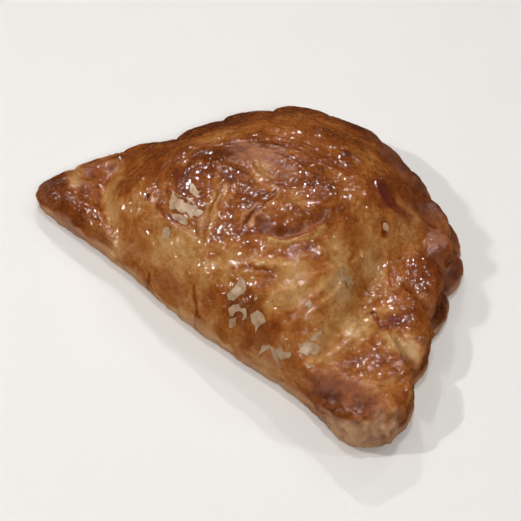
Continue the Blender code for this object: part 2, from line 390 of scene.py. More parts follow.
def crimp(share, inward):
    """What the crimping adds to the flange's height."""
    away, strength = nearest_notch(share, inward)
    left = GROOVE_LENGTH - inward
    fade = smooth_step(left / GROOVE_END)
    pillow = LOBE_PILLOW * smooth_step(np.abs(away) / LOBE_SHOULDER) * smooth_step(left / LOBE_END)
    gentle = np.clip(1.0 + away / GENTLE_SIDE, 0.0, 1.0) ** 1.4
    groove = GROOVE_DEPTH * np.where(away < 0.0, gentle, bell(away, STEEP_SIDE))
    crevice = CREVICE_DEPTH * bell(away, CREVICE_WIDTH)
    return (pillow - (groove + crevice) * fade) * strength


def notch_inset(share):
    """How far the outline steps in at a notch."""
    away, strength = nearest_notch(share, np.zeros(len(share)))
    return NOTCH_IN * strength * np.exp(-np.abs(away) / np.where(away < 0.0, *NOTCH_SIDES))


print(len(NOTCHES), "presses of the knife")

# %% [markdown]
# ## Folds, furrows and blisters
#
# The crust got its marks when it was folded and in the oven: a round blister with a crescent
# furrow and a slit beside it, the valleys behind the left flap and before the right flange, and
# long wrinkles. Each is a line in plan with a half-width and a rise, and a furrow has a rise
# below zero.

# %% Marks on the crust
# Half-width, rise, and then x and y of each point of the line.
CREASES = (
    # The valley behind the left flap, and the fine folds in it.
    (3.6, -2.2, -55, -27, -45, -35.5, -33, -44), (0.9, 0.6, -52, -33, -45, -39.5, -37, -44.5),
    (0.9, 0.5, -51, -26, -43, -33, -33, -39.5, -25, -45),
    (1.2, -0.5, -48, -25, -40, -31, -30, -37), (1.5, -0.9, -66, -31, -61, -32, -55, -28.5),
    (1.0, 0.6, -65.5, -34.5, -60, -36.5, -57, -34), (1.2, 0.5, -63, -29, -57, -25, -56, -20),
    # The valley between the filling and the right flange, with the ridges that run along it.
    (3.0, -1.5, 33, 2, 35.5, -5, 38.5, -14, 42, -25, 46, -36),
    (1.2, -0.6, 33, 3, 35.5, -5, 37, -11, 38.5, -17), (1.3, 1.1, 45, -15, 46.8, -24, 46, -35),
    (0.9, 0.8, 48.4, -18, 49, -28, 48, -34), (1.0, 0.9, 31.5, -4, 32, -16, 33.6, -28, 33, -38),
    (0.9, 0.7, 34.5, -15, 36, -24, 36, -34), (1.0, 0.7, 30, 9, 35, 3, 41, -4),
    (0.8, -0.5, 40.5, -12, 40, -20, 42, -30, 44, -40),
    # Pinched folds where the knife ended.
    (0.42, 0.9, 48.9, -2.8, 50.5, 0.8), (0.42, 0.9, 50.0, -3.0, 51.8, 0.7),
    (0.42, 0.8, 51.3, -3.0, 53.0, 0.3), (0.42, 1.0, 53.2, -18.2, 54.9, -15.6),
    (0.42, 1.0, 54.2, -18.6, 56.0, -15.8), (0.42, 0.9, 55.4, -18.9, 57.2, -16.1),
    # The blister, the slit and the crescent furrow, each with its lip.
    (4.2, 1.5, 9.4, -14.0, 10.6, -13.0),
    (2.0, -1.4, 7.5, -22.4, 10.5, -22.3, 13.5, -21.3, 16.6, -16.2, 17.6, -10.5, 17.6, -6.8),
    (0.9, 0.9, 12.5, -25, 16.5, -22.6, 19.2, -18.5, 20.6, -13.5, 20.4, -8.0, 18.6, -4.5),
    (0.5, -0.4, 2, -6, 3, -12, 3.3, -19, 4.8, -26),
    (0.7, 0.4, 0.9, -8, 1.9, -12, 2.1, -20, 3.6, -26),
    (0.7, 0.4, 3.0, -8, 4.1, -12, 4.5, -19, 6.0, -25.5),
    # The pale hollow behind the blister.
    (6.0, -1.6, -9, -3, 1, -4), (1.1, 0.6, -14, -5, -6, -9, 2, -8), (1.2, 0.6, -8, 1, -1, 3, 6, 1),
    # Long wrinkles that run from the fold up over the filling.
    (1.3, 0.8, -12.5, -16, -8.6, -23, -5, -32), (0.6, -0.4, -11.5, -22, -8.2, -28, -6.6, -32),
    (1.5, 0.8, -30, -37, -17, -35.4, -7, -35.8), (0.9, -0.8, -22, -31.5, -15, -33.6, -7, -34),
    (0.6, -0.8, 9, -36, 14, -33, 20, -30), (1.6, 1.0, 2, -41, 10, -36, 20, -28.5, 27, -22),
    (1.1, 0.7, -4, -38, 4, -33, 10, -30.5, 16, -29.5),
    (1.8, 1.1, 20, -40, 26, -33, 30, -24, 31, -14), (1.6, 0.6, -24, -16, -12, -12, -2, -13),
    (2.0, 0.6, -40, -20, -28, -14, -16, -14),
    # The rim of the burnt syrup on the right shoulder.
    (0.9, 0.7, 18, 22, 20, 15.5, 24, 12.8, 30, 14),
)
print(len(CREASES), "marks on the crust")

# %% [markdown]
# ## The height of the upper crust
#
# A dome over the filling runs down to a flange, and the marks and the crimps are added to it.
# Noise bends each mark's line a little and makes it stronger and weaker along its way, and slow
# noise gives the whole crust soft lumps.

# %% Crust height
DOME_HEIGHT = 33.5
DOME_POWER = 2.5
DOME_SOFTNESS = 1.1
DOME_FOOT = 0.13
FLANGE_PUFF = 1.6
FLANGE_DROP = 2.6


def to_line(xy, line):
    """Distance in plan from each point to a line, given as x and y of its points in turn."""
    line = np.array(line, float).reshape(-1, 2)
    best = np.full(len(xy), np.inf)
    for a, b in zip(line, line[1:]):
        along = np.clip(((xy - a) @ (b - a)) / max((b - a) @ (b - a), 1e-9), 0.0, 1.0)
        best = np.minimum(best, np.linalg.norm(xy - a - along[:, None] * (b - a), axis=1))
    return best


def crust_height(xy):
    """Height of the upper crust: filled dome, flange, crimps, marks and soft lumps."""
    flat = np.c_[xy, np.zeros(len(xy))]
    angle, distance = polar(xy)
    reach, edge, *_ = around(angle)
    share = distance / at_edge(angle, COLUMN_REACH)
    flange = np.clip((share - reach) / np.maximum(1.0 - reach, 0.1), 0.0, 1.0)
    root = edge + FLANGE_DROP * (1.0 - flange)
    fall = 1.0 - np.clip(share / reach, 0.0, 1.5) ** DOME_POWER
    dome = (0.5 * (fall + np.sqrt(fall**2 + DOME_FOOT**2))) ** DOME_SOFTNESS
    height = root + (DOME_HEIGHT - root) * dome + FLANGE_PUFF * np.sin(np.pi * flange)
    wander = np.c_[noise(flat, 6.0, 11), noise(flat, 6.0, 12)] * 0.7
    uneven = 1.0 + 0.35 * noise(flat, 5.0, 13)
    for half_width, rise, *line in CREASES:
        height += rise * uneven * bell(to_line(xy + wander, line), half_width)
    height += 1.3 * noise(flat, 17.0, 14) + 0.5 * noise(flat, 8.0, 15)
    inward = at_edge(angle, COLUMN_REACH) - distance
    return height + crimp(at_edge(angle, SHARE), inward) * at_edge(angle, CRIMPED)


print("height over the filling:", round(crust_height(np.zeros((1, 2)))[0], 1), "mm")

# %% [markdown]
# ## The edges of the two leaves
#
# Below the flange comes the wall. Its shape hangs on two lines in plan: the edge of the lower
# leaf and that of the upper leaf, which stands a little further in and is notched by the crimps.
# The upper leaf's large near lobes are given point by point. Both lines wobble, because dough
# does.

# %% Leaf edges
# The upper leaf's edge at the near lobes, x and y.
LOBES = (
    (43.9, 21.5), (46.9, 17.5), (48.1, 15.3), (47.4, 14.5), (48.6, 13.9), (50.6, 12.3),
    (53.1, 8.1), (54.8, 3.4), (55.5, -0.2), (54.2, -1.2), (55.2, -1.9), (57.7, -3.4), (60.4, -5.7),
    (61.6, -8.4), (62.4, -11.0), (63.7, -14.7), (63.8, -17.1), (62.5, -18.6), (63.4, -20.0),
    (65.7, -22.0), (67.6, -24.9), (70.2, -28.7), (71.5, -33.4), (72.0, -37.6),
)


def toward_centre(points, inward):
    """Points moved toward CENTRE by a distance, one for each point."""
    d = CENTRE - points
    d /= np.linalg.norm(d, axis=1)[:, None]
    return points + d * (np.zeros(len(points)) + inward)[:, None]


def leaf_edges():
    """Plan lines of the lower and the upper leaf's edges, with their notches and wobble."""
    flat = np.c_[OUTLINE, np.zeros(len(OUTLINE))]
    step = around(COLUMN_ANGLE)[2] * CRIMPED
    inset = notch_inset(SHARE) * CRIMPED
    wobble = 0.7 * noise(flat, 9.0, 21) + 0.3 * noise(flat, 3.0, 22)
    lower = toward_centre(OUTLINE, 0.8 * inset + 0.4 + 0.6 * wobble)
    upper_in = inset + step + 0.4 + wobble * (0.6 + 0.4 * CRIMPED)
    angles, reaches = polar(np.array(LOBES))
    lobed = COLUMN_REACH - np.interp(COLUMN_ANGLE, angles[::-1], reaches[::-1])
    by_hand = smooth_step((angles[0] - COLUMN_ANGLE) / 6.0)
    by_hand *= smooth_step((COLUMN_ANGLE - angles[-1]) / 3.0)
    upper_in = upper_in * (1.0 - by_hand) + np.maximum(lobed, 0.5) * by_hand
    upper = toward_centre(OUTLINE, upper_in)
    return lower, upper, step


print("upper leaf steps in by", round(float(leaf_edges()[2].max()), 1), "mm at most")

# %% [markdown]
# ## The wall's profile
#
# On the crimped side the wall goes over the top leaf's lip, into the seam between the leaves, and
# out again round the lower leaf. On the fold it is one roll. Each column gets a few profile
# points for both, blended by how crimped the column is.

# %% Wall profile
SEAM_HEIGHT = 7.4
SEAM_IN = 2.6
SEAM_IN_TIP = 0.5
LOWER_LEAF = 4.4
LEAF_WAVE = 0.9
LIP_WIDEST = 0.28
RING_IN = 3.2


def rounded(inward, radius):
    """A quarter circle: 0 at the outer line, 1 where it runs into the crust on top."""
    left = 1.0 - np.clip(inward / radius, 0.0, 1.0)
    return np.sqrt(1.0 - left**2)


def surface_at(xy, inward):
    """Upper surface near the edge: the top leaf's lip and the fold both round over."""
    angle, _ = polar(xy)
    crimped = at_edge(angle, CRIMPED)
    height = crust_height(xy)
    *_, radius, fold_widest = around(angle)
    lip_widest = SEAM_HEIGHT + LIP_WIDEST * (height - SEAM_HEIGHT)
    widest = lip_widest * crimped + fold_widest * (1.0 - crimped)
    return widest + (height - widest) * rounded(inward, radius)


def wall_profile():
    """A few rows of points down the wall, from the ring on top to the underside."""
    lower, upper, step = leaf_edges()
    rows = []
    for inward in (RING_IN, 2.0, 1.1, 0.5, 0.12, 0.0):
        xy = toward_centre(upper, inward)
        rows.append(np.c_[xy, surface_at(xy, np.full(len(xy), inward))])
    level = LEAF_WAVE * noise(np.c_[upper, np.zeros(len(upper))], 13.0, 23) * CRIMPED
    lip = LIP_WIDEST * (crust_height(upper) - SEAM_HEIGHT)
    seam_in = SEAM_IN_TIP + (SEAM_IN - SEAM_IN_TIP) * smooth_step((COLUMN_ANGLE + 27.0) / 14.0)
    # Each row: the leaf's edge, how far in and how high, and the same two for the fold, where the
    # height is a share of its widest height.
    profile = (
        (upper, 0.4, SEAM_HEIGHT + 0.3 * lip, 0.1, 0.76),
        (upper, seam_in, SEAM_HEIGHT - 0.1 + level, 0.3, 0.60),
        (lower, 0.75 * step + 0.7, SEAM_HEIGHT - 0.9 + level, 0.6, 0.45),
        (lower, 0.3 * step + 0.5, LOWER_LEAF + 0.8 + level, 0.8, 0.36),
        (lower, 0.35, LOWER_LEAF - 0.2 + level, 1.0, 0.28),
        (lower, 0.0, LOWER_LEAF * 0.55 + level * 0.5, 1.6, 0.16),
        (lower, 0.5, LOWER_LEAF * 0.14 + level * 0.1, 2.4, 0.05),
        (lower, 1.9, np.zeros(len(lower)), 3.5, 0.0),
    )
    fold_widest = around(COLUMN_ANGLE)[4]
    for edge, crimp_in, crimp_z, fold_in, fold_share in profile:
        crimp_row = np.c_[toward_centre(edge, crimp_in), crimp_z]
        fold_row = np.c_[toward_centre(lower, fold_in), fold_widest * fold_share]
        rows.append(crimp_row * CRIMPED[:, None] + fold_row * (1.0 - CRIMPED)[:, None])
    return np.array(rows)


PROFILE = wall_profile()
print("profile of", len(PROFILE), "points in each column")

# %% [markdown]
# ## Even rows
#
# A smooth curve runs through each column's profile points and is cut into even rows, so that the
# mesh is as fine on the wall as on top.

# %% Wall rows
WALL_ROWS = 46
SPAN_STEPS = 8


def even_rows(profile, count):
    """The profile's curve in each column, cut into count even steps."""
    steps = np.arange(SPAN_STEPS) / SPAN_STEPS
    ends = np.concatenate([profile[:1], profile, profile[-1:]])
    fine = [smooth_through(*ends[i : i + 4], t) for i in range(len(profile) - 1) for t in steps]
    fine = np.array(fine + [profile[-1]])
    run = np.linalg.norm(np.diff(fine, axis=0), axis=2)
    at = np.concatenate([np.zeros((1, run.shape[1])), np.cumsum(run, axis=0)])
    rows = np.empty((count, fine.shape[1], 3))
    for column in range(fine.shape[1]):
        want = np.linspace(0.0, at[-1, column], count)
        for axis in range(3):
            rows[:, column, axis] = np.interp(want, at[:, column], fine[:, column, axis])
    return rows


WALL = even_rows(PROFILE, WALL_ROWS)
print("wall of", WALL.shape[0], "rows, lowest", round(WALL[..., 2].min(), 2), "mm")

# %% [markdown]
# ## One closed skin
#
# The top is a net of even triangles inside the wall's first row. Even triangles matter more than
# neat rows here: wrinkles run in every direction, and long thin faces would show as streaks in
# the glaze. The underside is flat, so a coarse net does. A Delaunay triangulation joins each net
# to its ring.

# %% Nets and skin
NET_STEP = 0.5
UNDERSIDE_STEP = 5.0
ROW_RISE = 0.866
RING_GAP = 0.6


def net_inside(ring, step):
    """An even net of triangles inside a ring of plan points. Returns (inner points, triangles)."""
    low, high = ring.min(axis=0), ring.max(axis=0)
    inner = []
    for k, y in enumerate(np.arange(low[1] + step / 2, high[1], step * ROW_RISE)):
        x = np.arange(low[0] + (k % 2) * step / 2, high[0], step)
        xy = np.c_[x, np.full(len(x), y)]
        angle, distance = polar(xy)
        inner.append(xy[distance < ring_reach(ring, angle) - RING_GAP * step])
    inner = np.concatenate(inner)
    every = [Vector(p) for p in np.concatenate([ring, inner])]
    edges = [(i, (i + 1) % len(ring)) for i in range(len(ring))]
    _, _, faces, sources, _, _ = delaunay_2d_cdt(every, edges, [], 1, 1e-6)
    return inner, np.array([[sources[v][0] for v in face] for face in faces])


def skin():
    """Points, triangles and quads of the whole pastry: wall rows, then top net, then underside."""
    rows, columns = WALL.shape[:2]
    top_xy, top_faces = net_inside(WALL[0, :, :2], NET_STEP)
    base_xy, base_faces = net_inside(WALL[-1, :, :2], UNDERSIDE_STEP)
    angle, distance = polar(top_xy)
    inward = ring_reach(WALL[0, :, :2], angle) - distance + RING_IN
    top = np.c_[top_xy, surface_at(top_xy, inward)]
    base = np.c_[base_xy, np.zeros(len(base_xy))]
    first_top = rows * columns
    first_base = first_top + len(top)
    last_row = (rows - 1) * columns
    top_faces += np.where(top_faces < columns, 0, first_top - columns)
    base_faces += np.where(base_faces < columns, last_row, first_base - columns)
    i, j = np.meshgrid(np.arange(rows - 1), np.arange(columns), indexing="ij")
    a, b = i * columns + j, i * columns + (j + 1) % columns
    wall_faces = np.stack([a, b, b + columns, a + columns], axis=-1).reshape(-1, 4)
    points = np.concatenate([WALL.reshape(-1, 3), top, base])
    return points, [top_faces, base_faces[:, ::-1]], wall_faces


POINTS, TRIANGLES, QUADS = skin()
print(len(POINTS), "points,", sum(map(len, TRIANGLES)) + 2 * len(QUADS), "triangles")

# %% [markdown]
# ## Which way is out
#
# Fine relief is easier to add along the surface's own normal than in height, because then it also
# works on the wall. A point's normal is the sum of its faces' normals, and a big face counts for
# more.

# %% Normals
def triangles():
    """Every face of the skin as triangles."""
    return np.concatenate(TRIANGLES + [QUADS[:, [0, 1, 2]], QUADS[:, [0, 2, 3]]])


def normals(points):
    """Unit normals at the skin's points."""
    faces = triangles()
    first, second, third = (points[faces[:, k]] for k in range(3))
    across = np.cross(second - first, third - first)
    total = np.zeros_like(points)
    for k in range(3):
        for axis in range(3):
            total[:, axis] += np.bincount(faces[:, k], across[:, axis], len(points))
    return total / np.maximum(np.linalg.norm(total, axis=1), 1e-12)[:, None]


OUT = normals(POINTS)
XY = POINTS[:, :2]
BEHIND = POINTS[:, 1]
HEIGHT = POINTS[:, 2]
print("upward-facing points:", int((OUT[:, 2] > 0.5).sum()))

# %% [markdown]
# ## The grain of the crust
#
# Puff pastry is stretched when it is folded, so its fine wrinkles, streaks and layer edges run in
# one direction at each place. The direction is given at a few places and blended between them. To
# draw streaks along it, plain noise is averaged along a short line through each point, which
# smears it one way and leaves it sharp the other way.

# %% Grain
# x, y and the grain's direction in degrees.
GRAIN = (
    (-62.0, -38.0, -20.0), (-55.0, -22.0, 60.0), (-44.0, -34.0, -48.0), (-38.0, 2.0, 70.0),
    (-24.0, -40.0, -30.0), (-12.0, -24.0, -62.0), (-12.0, 2.0, 20.0), (0.0, 30.0, 10.0),
    (8.0, -34.0, 33.0), (10.0, -12.0, 60.0), (24.0, -30.0, 40.0), (24.0, 18.0, -50.0),
    (33.0, -16.0, 88.0), (40.0, 6.0, -60.0), (47.0, -26.0, 86.0), (52.0, -10.0, 35.0),
    (58.0, -34.0, 62.0), (62.0, -46.0, 80.0),
)
GRAIN_BLEND = 14.0


def grain_directions():
    """Unit directions in plan at the skin's points."""
    x, y, angle = np.array(GRAIN).T
    apart = (XY[:, :1] - x) ** 2 + (XY[:, 1:] - y) ** 2
    weight = np.exp(-apart / GRAIN_BLEND**2) + 1e-9
    double = np.radians(2.0 * angle)
    blended = np.arctan2(weight @ np.sin(double), weight @ np.cos(double)) / 2.0
    return np.c_[np.cos(blended), np.sin(blended), np.zeros(len(XY))]


ALONG = grain_directions()


def streaks(size, length, seed):
    """Noise smeared along the grain: size across it, length along it, about -1 to 1."""
    steps = np.linspace(-0.5, 0.5, max(3, round(length / size) * 2 + 1))
    total = sum(noise(POINTS + ALONG * (length * s), size, seed) for s in steps)
    return total / total.std() * 0.45


WIDE_STREAKS = streaks(2.6, 9.0, 31)
FINE_STREAKS = streaks(1.1, 5.0, 32)
print("streaks made at", len(XY), "points")

# %% [markdown]
# ## Listed marks
#
# Some marks belong to this pastry alone: burnt patches, pale stretch marks, dark cracks. A table
# holds each one's half-width and strength and its line in plan. Noise shifts the place where a
# mark is looked up, so that its edge is ragged like a real one.

# %% Listed marks
RAGGED = np.c_[noise(POINTS, 3.0, 41), noise(POINTS, 3.0, 42)] * 1.1
RAGGED += np.c_[noise(POINTS, 8.0, 43), noise(POINTS, 8.0, 44)] * 1.4


def marks(table, ragged=1.0):
    """The sum of some marks at the skin's points."""
    total = np.zeros(len(XY))
    for half_width, strength, *line in table:
        total += strength * bell(to_line(XY + RAGGED * ragged, line), half_width)
    return total


RAGGED_3D = np.c_[RAGGED, noise(POINTS, 5.0, 45) * 2.0]
UPPER = smooth_step((HEIGHT - 7.0) / 4.0)
FREE = smooth_step(HEIGHT / 1.6)
WALLED = smooth_step((0.75 - OUT[:, 2]) / 0.4) * FREE
print("wall points:", int((WALLED > 0.5).sum()))

# %% [markdown]
# ## Fine relief
#
# Five kinds of relief lie on the crust. Streaky wrinkles follow the grain. Layer edges are low
# steps, where one thin sheet of the pastry ends on the next: rounding a smooth field to whole
# numbers gives such terraces. Blisters are small round swellings. On the wall the baked layers
# show as ledges that run level round the pastry. The end of the fold at the right tip is crumpled
# into upright folds.

# %% Relief
def steps_in(field, count, sharpness):
    """A field turned into terraces with steep, not upright, edges."""
    scaled = field * count
    whole = np.floor(scaled)
    return (whole + smooth_step((scaled - whole - 0.5) * sharpness + 0.5)) / count


def blisters(spacing, seed):
    """Round swellings: one at a random place in each cell, read at the skin's points."""
    chance = np.random.default_rng(seed)
    low = POINTS.min(axis=0) - spacing
    cells = np.ceil((POINTS.max(axis=0) + spacing - low) / spacing).astype(int) + 1
    places = chance.uniform(0.15, 0.85, (*cells, 3))
    radii = chance.uniform(0.25, 0.62, cells) * spacing
    at = (POINTS - low) / spacing
    cell = np.floor(at).astype(int)
    swelling = np.zeros(len(POINTS))
    for step in itertools.product((-1, 0, 1), repeat=3):
        near = np.clip(cell + step, 0, cells - 1)
        index = tuple(near.T)
        far = np.linalg.norm((at - near - places[index]) * spacing, axis=1) / radii[index]
        swelling = np.maximum(swelling, radii[index] * np.clip(1.0 - far**2, 0.0, 1.0))
    return swelling


LAYER_FIELD = noise(POINTS, 9.0, 51) * 0.5 + 0.5 + 0.10 * WIDE_STREAKS + 0.05 * FINE_STREAKS
PATCHES = smooth_step(noise(POINTS, 13.0, 52) * 1.6 + 0.55)
BUBBLY = smooth_step(noise(POINTS, 11.0, 53) * 1.6 + 0.35)
LEDGE_PITCH = 1.7
ledge_height = HEIGHT + 0.9 * noise(POINTS, 12.0, 54) + 0.35 * noise(POINTS, 4.0, 55)
ledge_phase = ledge_height / LEDGE_PITCH
LEDGES = 1.0 - np.abs(2.0 * (ledge_phase - np.floor(ledge_phase)) - 1.0)
CALM_BACK = 1.0 - 0.6 * smooth_step((BEHIND - 6.0) / 16.0)
relief = 0.09 * (1.0 - 2.0 * np.abs(WIDE_STREAKS) + FINE_STREAKS) * CALM_BACK
LAYER_EDGES = steps_in(LAYER_FIELD, 7.0, 5.0) - LAYER_FIELD
relief += 0.6 * LAYER_EDGES * PATCHES
relief += 0.22 * blisters(4.2, 56) * BUBBLY + 0.28 * blisters(1.8, 57) * (0.1 + 0.9 * BUBBLY)
relief += 0.16 * noise(POINTS, 4.5, 60) + 0.09 * noise(POINTS, 1.4, 58)
LOW = smooth_step((6.5 - HEIGHT) / 2.0)
wall_relief = (0.28 + 0.25 * noise(POINTS, 9.0, 70)) * (LEDGES - 0.5) * LOW
wall_relief += 0.45 * noise(POINTS, 3.5, 59)
upright = (POINTS + RAGGED_3D) * (1.0, 1.0, 0.4)
FOLDS = 0.45 - np.abs(noise(upright, 3.4, 66)) * 1.5 + 0.5 * noise(upright, 1.5, 67)
TIP_END = ((5.0, 1.4, 53, -48, 64, -46, 71.5, -40),)
AT_TIP = np.clip(marks(TIP_END, 0.5), 0.0, 1.0) * smooth_step(HEIGHT / 4.5)
tip_relief = (1.1 * FOLDS + 0.9 * noise(POINTS, 6.0, 68)) * AT_TIP
RELIEF = (relief * (1.0 - 0.6 * WALLED) + wall_relief * WALLED + tip_relief) * FREE
SHAPED = POINTS + OUT * RELIEF[:, None]
SHAPED[:, 2] = np.maximum(SHAPED[:, 2], 0.0)
print("relief from", round(RELIEF.min(), 2), "to", round(RELIEF.max(), 2), "mm")

# %% [markdown]
# ## The crust becomes an object
#
# The points and faces become a mesh in metres, smooth-shaded. The object stays at the origin,
# unturned and unscaled, so that its place is in its mesh and a pattern on object coordinates
# can't slide. The crust stands in for the plain solid and rides on the part's one body.

# %% Crust object
def mesh_object(name, points, faces):
    """A smooth-shaded mesh object from points in millimetres."""
    mesh = bpy.data.meshes.new(name)
    mesh.from_pydata((points * MM).tolist(), [], [list(map(int, face)) for face in faces])
    mesh.polygons.foreach_set("use_smooth", [True] * len(mesh.polygons))
    mesh.update()
    made = bpy.data.objects.new(name, mesh)
    bpy.context.scene.collection.objects.link(made)
    return made


def give_values(piece, **values):
    """Stores a number for each point of a piece, for its material to read."""
    for name, numbers in values.items():
        layer = piece.data.attributes.new(name, "FLOAT", "POINT")
        layer.data.foreach_set("value", np.asarray(numbers, np.float32))


crust = mesh_object("crust", SHAPED, [*TRIANGLES[0], *TRIANGLES[1], *QUADS])
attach(crust, "root")
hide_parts("turnover")
print("crust:", len(crust.data.polygons), "faces")

# %% [markdown]
# ## How far each place is baked
#
# The oven browns what stands up and what is thin first, and syrup that ran into a hollow burns
# dark. Stretched or sheltered dough stays pale. One number, the bake, runs from raw dough at 0 to
# burnt at 1. Broad noise, the streaks, the hollows and the marks in tables push it up or down.
# Some of the darkening is painted shade: in the crimps' crevices, in the seam, along the back edge
# and on the lower leaf by the right tip. This first table holds the places that browned more than
# their surroundings, and that one place of painted shade by the tip.

# %% Browned marks
# Half-width, strength, and then x and y of each point of the line.
BROWNED_AND_SHADED = (
    (5.0, 0.2, -66, -36, -63, -40), (6.0, 0.1, -58, -16, -60, -8), (3.4, 0.16, -62, -41, -50, -41),
    (3.0, 0.08, -24, -2, -23, -8), (3.0, 0.14, -27, -21, -25, -23), (2.6, 0.1, -11, -11, 0, -14),
    (3.4, 0.26, 21, 16.5, 25, 15.0, 29, 16), (1.5, 0.16, 22, 15, 26, 14.5),
    (1.6, 0.14, 26, 18, 31, 17), (2.6, 0.04, 21, -1, 26, 3), (4.5, 0.12, 15, -41, 26, -43),
    (3.0, 0.05, 40, 7, 46, 4), (1.4, 0.14, 46.5, -16, 49, -16),
    (1.4, 0.12, 50.0, -12.5, 53.0, -10.5), (3.0, 0.12, 48, -43, 56, -44), (2.0, 0.2, 6, 17, 6, 17),
    (9.0, 0.18, -46, 2, -38, 22, -22, 36, 0, 41, 20, 38), (3.0, 0.12, -6, -42, 6, -44),
    (6.0, 0.14, 30, 32, 46, 14, 54, -2), (4.0, 0.06, 46, -6, 54, -12), (3.5, 0.16, 8, 0, 14, 2),
    (4.0, 0.16, 24, 10, 31, 11), (3.0, 0.1, 62, -43, 66, -40), (1.8, 0.16, 61, -12.5, 63.5, -14.5),
    # Painted shade: the last row of the next line darkens the lower leaf beside the right tip.
    (2.5, 0.2, 70, -33, 71.5, -38), (3.0, 0.04, 51, -46, 55, -46), (3.0, 0.12, -58, -45, -50, -46),
    (3.0, 0.06, 43, 5, 46, 6), (3.4, 0.1, 13.5, -5, 11, -2), (2.6, 0.08, 25, -12, 21, -13),
    (3.0, 0.08, 26, 6, 28, 7), (2.6, 0.08, 12, -39.5, 14, -39), (3.0, 0.06, -16, 0, -13, 2),
    (2.0, 0.02, 68, -29, 70, -31), (2.5, 0.04, 52, -13, 55, -14),
    (5.0, 0.12, -46, -22, -36, -15, -18, -6), (6.0, 0.12, -8, 24, 2, 24, 6, 16),
    (3.0, 0.03, 50, -42, 62, -39), (4.0, 0.14, -18, 3, -11, 4), (3.0, 0.06, -12, -16, 0, -19),
    (5.0, 0.1, 16, 33, 22, 31), (4.0, 0.08, 56, -26, 60, -24), (4.5, 0.12, -18, -15, -11, -14),
    (4.5, 0.09, -8, -8, -4, -4), (4.5, 0.1, 4, 2, 9, 9, 13, 12), (4.0, 0.08, 3, -19, 7, -19),
    (3.5, 0.06, 58, -30, 62, -28), (2.5, 0.16, -69, -41, -66, -41), (3.0, 0.09, 8, -34, 10, -33),
    (2.5, 0.1, 59, -20, 61, -19), (3.0, 0.07, 3, -28, 6, -28), (3.0, 0.07, 17, 8, 19, 9),
)
print(len(BROWNED_AND_SHADED), "browned marks")

# %% [markdown]
# ## Pale places
#
# Where the dough was stretched, folded under or shaded by a ridge it stayed pale. The line along
# the crescent's outer lip is a painted highlight.

# %% Pale marks
PALED_AND_HIGHLIT = (
    (5.4, 0.25, -13, -3, -5, -5), (3.6, 0.1, -7, -5, -3, -8),
    (2.2, 0.2, -52, -24, -49, -32, -41, -37, -31, -45), (2.4, 0.26, -66, -31, -59, -34),
    (5.0, 0.16, -34, -33, -22, -36), (0.6, 0.24, -12, -18, -9.6, -25, -6.2, -33),
    (0.6, 0.24, -9.6, -18, -7.0, -25, -3.2, -33),
    (0.5, 0.16, 0.8, -8, 1.9, -12, 2.1, -20, 3.6, -26),
    (0.5, 0.16, 3.1, -8, 4.2, -12, 4.5, -19, 6.0, -25.5),
    # Painted highlight: the pale line along the crescent's outer lip.
    (0.7, 0.26, 13.5, -24.8, 17.2, -22.2, 19.4, -18.2, 20.6, -13.5, 20.2, -8.5),
    (2.2, 0.16, 2, -38, 13, -32, 25, -24), (4.5, 0.12, 22, 2, 27, 14), (4.0, 0.08, 13, -2, 18, 8),
    (2.2, 0.16, 34, -15, 36, -21), (3.4, 0.16, 41, -13, 45, -24), (3.4, 0.12, 41, -2, 45, 3),
    (2.2, 0.12, 31, 15, 34, 19), (2.5, 0.32, 53.6, -17.8, 57.8, -16.4, 61, -15.6),
    (1.6, 0.2, 49, -1, 53, -2), (2.6, 0.1, 55, -30, 60, -34), (3.5, 0.1, 64, -47, 71, -48),
    (2.0, 0.06, 5, -10, 12, -8), (4.5, 0.26, 26, -12, 32, -14), (3.0, 0.24, 33, -2, 37, -5),
    (2.6, 0.18, 43, -6, 46, -9), (3.6, 0.2, 24, -28, 30, -31, 26, -36),
    (4.0, 0.24, -14, -39, -8, -38.5, 0, -41), (4.0, 0.22, 45, -22, 42, -31, 43, -36),
    (3.0, 0.12, 36, -25, 35, -31), (3.0, 0.2, 27, -46, 34, -46), (3.0, 0.16, 0, -47, 9, -47),
    (3.0, 0.14, 28, -10, 30, -15), (3.0, 0.14, 30, -5, 33, -8), (4.0, 0.16, 28, 4, 34, 12),
    (4.0, 0.14, 30, -26, 35, -20), (3.0, 0.12, 26, -36, 27, -30), (3.0, 0.14, 34, -2, 32, 2),
    (3.0, 0.12, 38, -25, 42, -24), (3.0, 0.12, 49, -6, 52, -8), (3.5, 0.12, 33, 15, 36, 17),
    (4.5, 0.08, -24, 15, -21, 18), (3.0, 0.1, -60, -40, -57, -38), (2.4, 0.12, 35, 2, 37, 4),
    (1.8, 0.12, 55, -17, 57, -16.5), (4.0, 0.1, 5, 24, 8, 25), (2.6, 0.1, 27, 19, 30, 20),
    (3.5, 0.1, -10, -41, -8, -41), (3.0, 0.1, 33, -46, 36, -45), (3.0, 0.08, 17, -46, 20, -46),
    (2.6, 0.12, 27, 19, 29, 20), (3.0, 0.1, 8, -37, 12, -37), (3.0, 0.06, 1, -34, 4, -33),
    (3.0, 0.06, 24, -5, 27, -8), (2.6, 0.08, 36, -6, 39, -8), (2.4, 0.06, 58, -16, 61, -16),
    (5.0, 0.1, -34, 0, -29, 6), (4.0, 0.09, -6, -45, 0, -45), (4.0, 0.08, 12, -46, 16, -46),
    (5.0, 0.07, -8, 30, -2, 31), (4.0, 0.07, -26, -41, -18, -42), (3.0, 0.09, 32, -39, 34, -40),
    (4.5, 0.09, 0, 29, 4, 30), (4.0, 0.09, -47, -20, -43, -20), (3.0, 0.08, 29, 19, 31, 19),
    (3.0, 0.05, -43, -44, -41, -44),
)
print(len(PALED_AND_HIGHLIT), "pale marks")
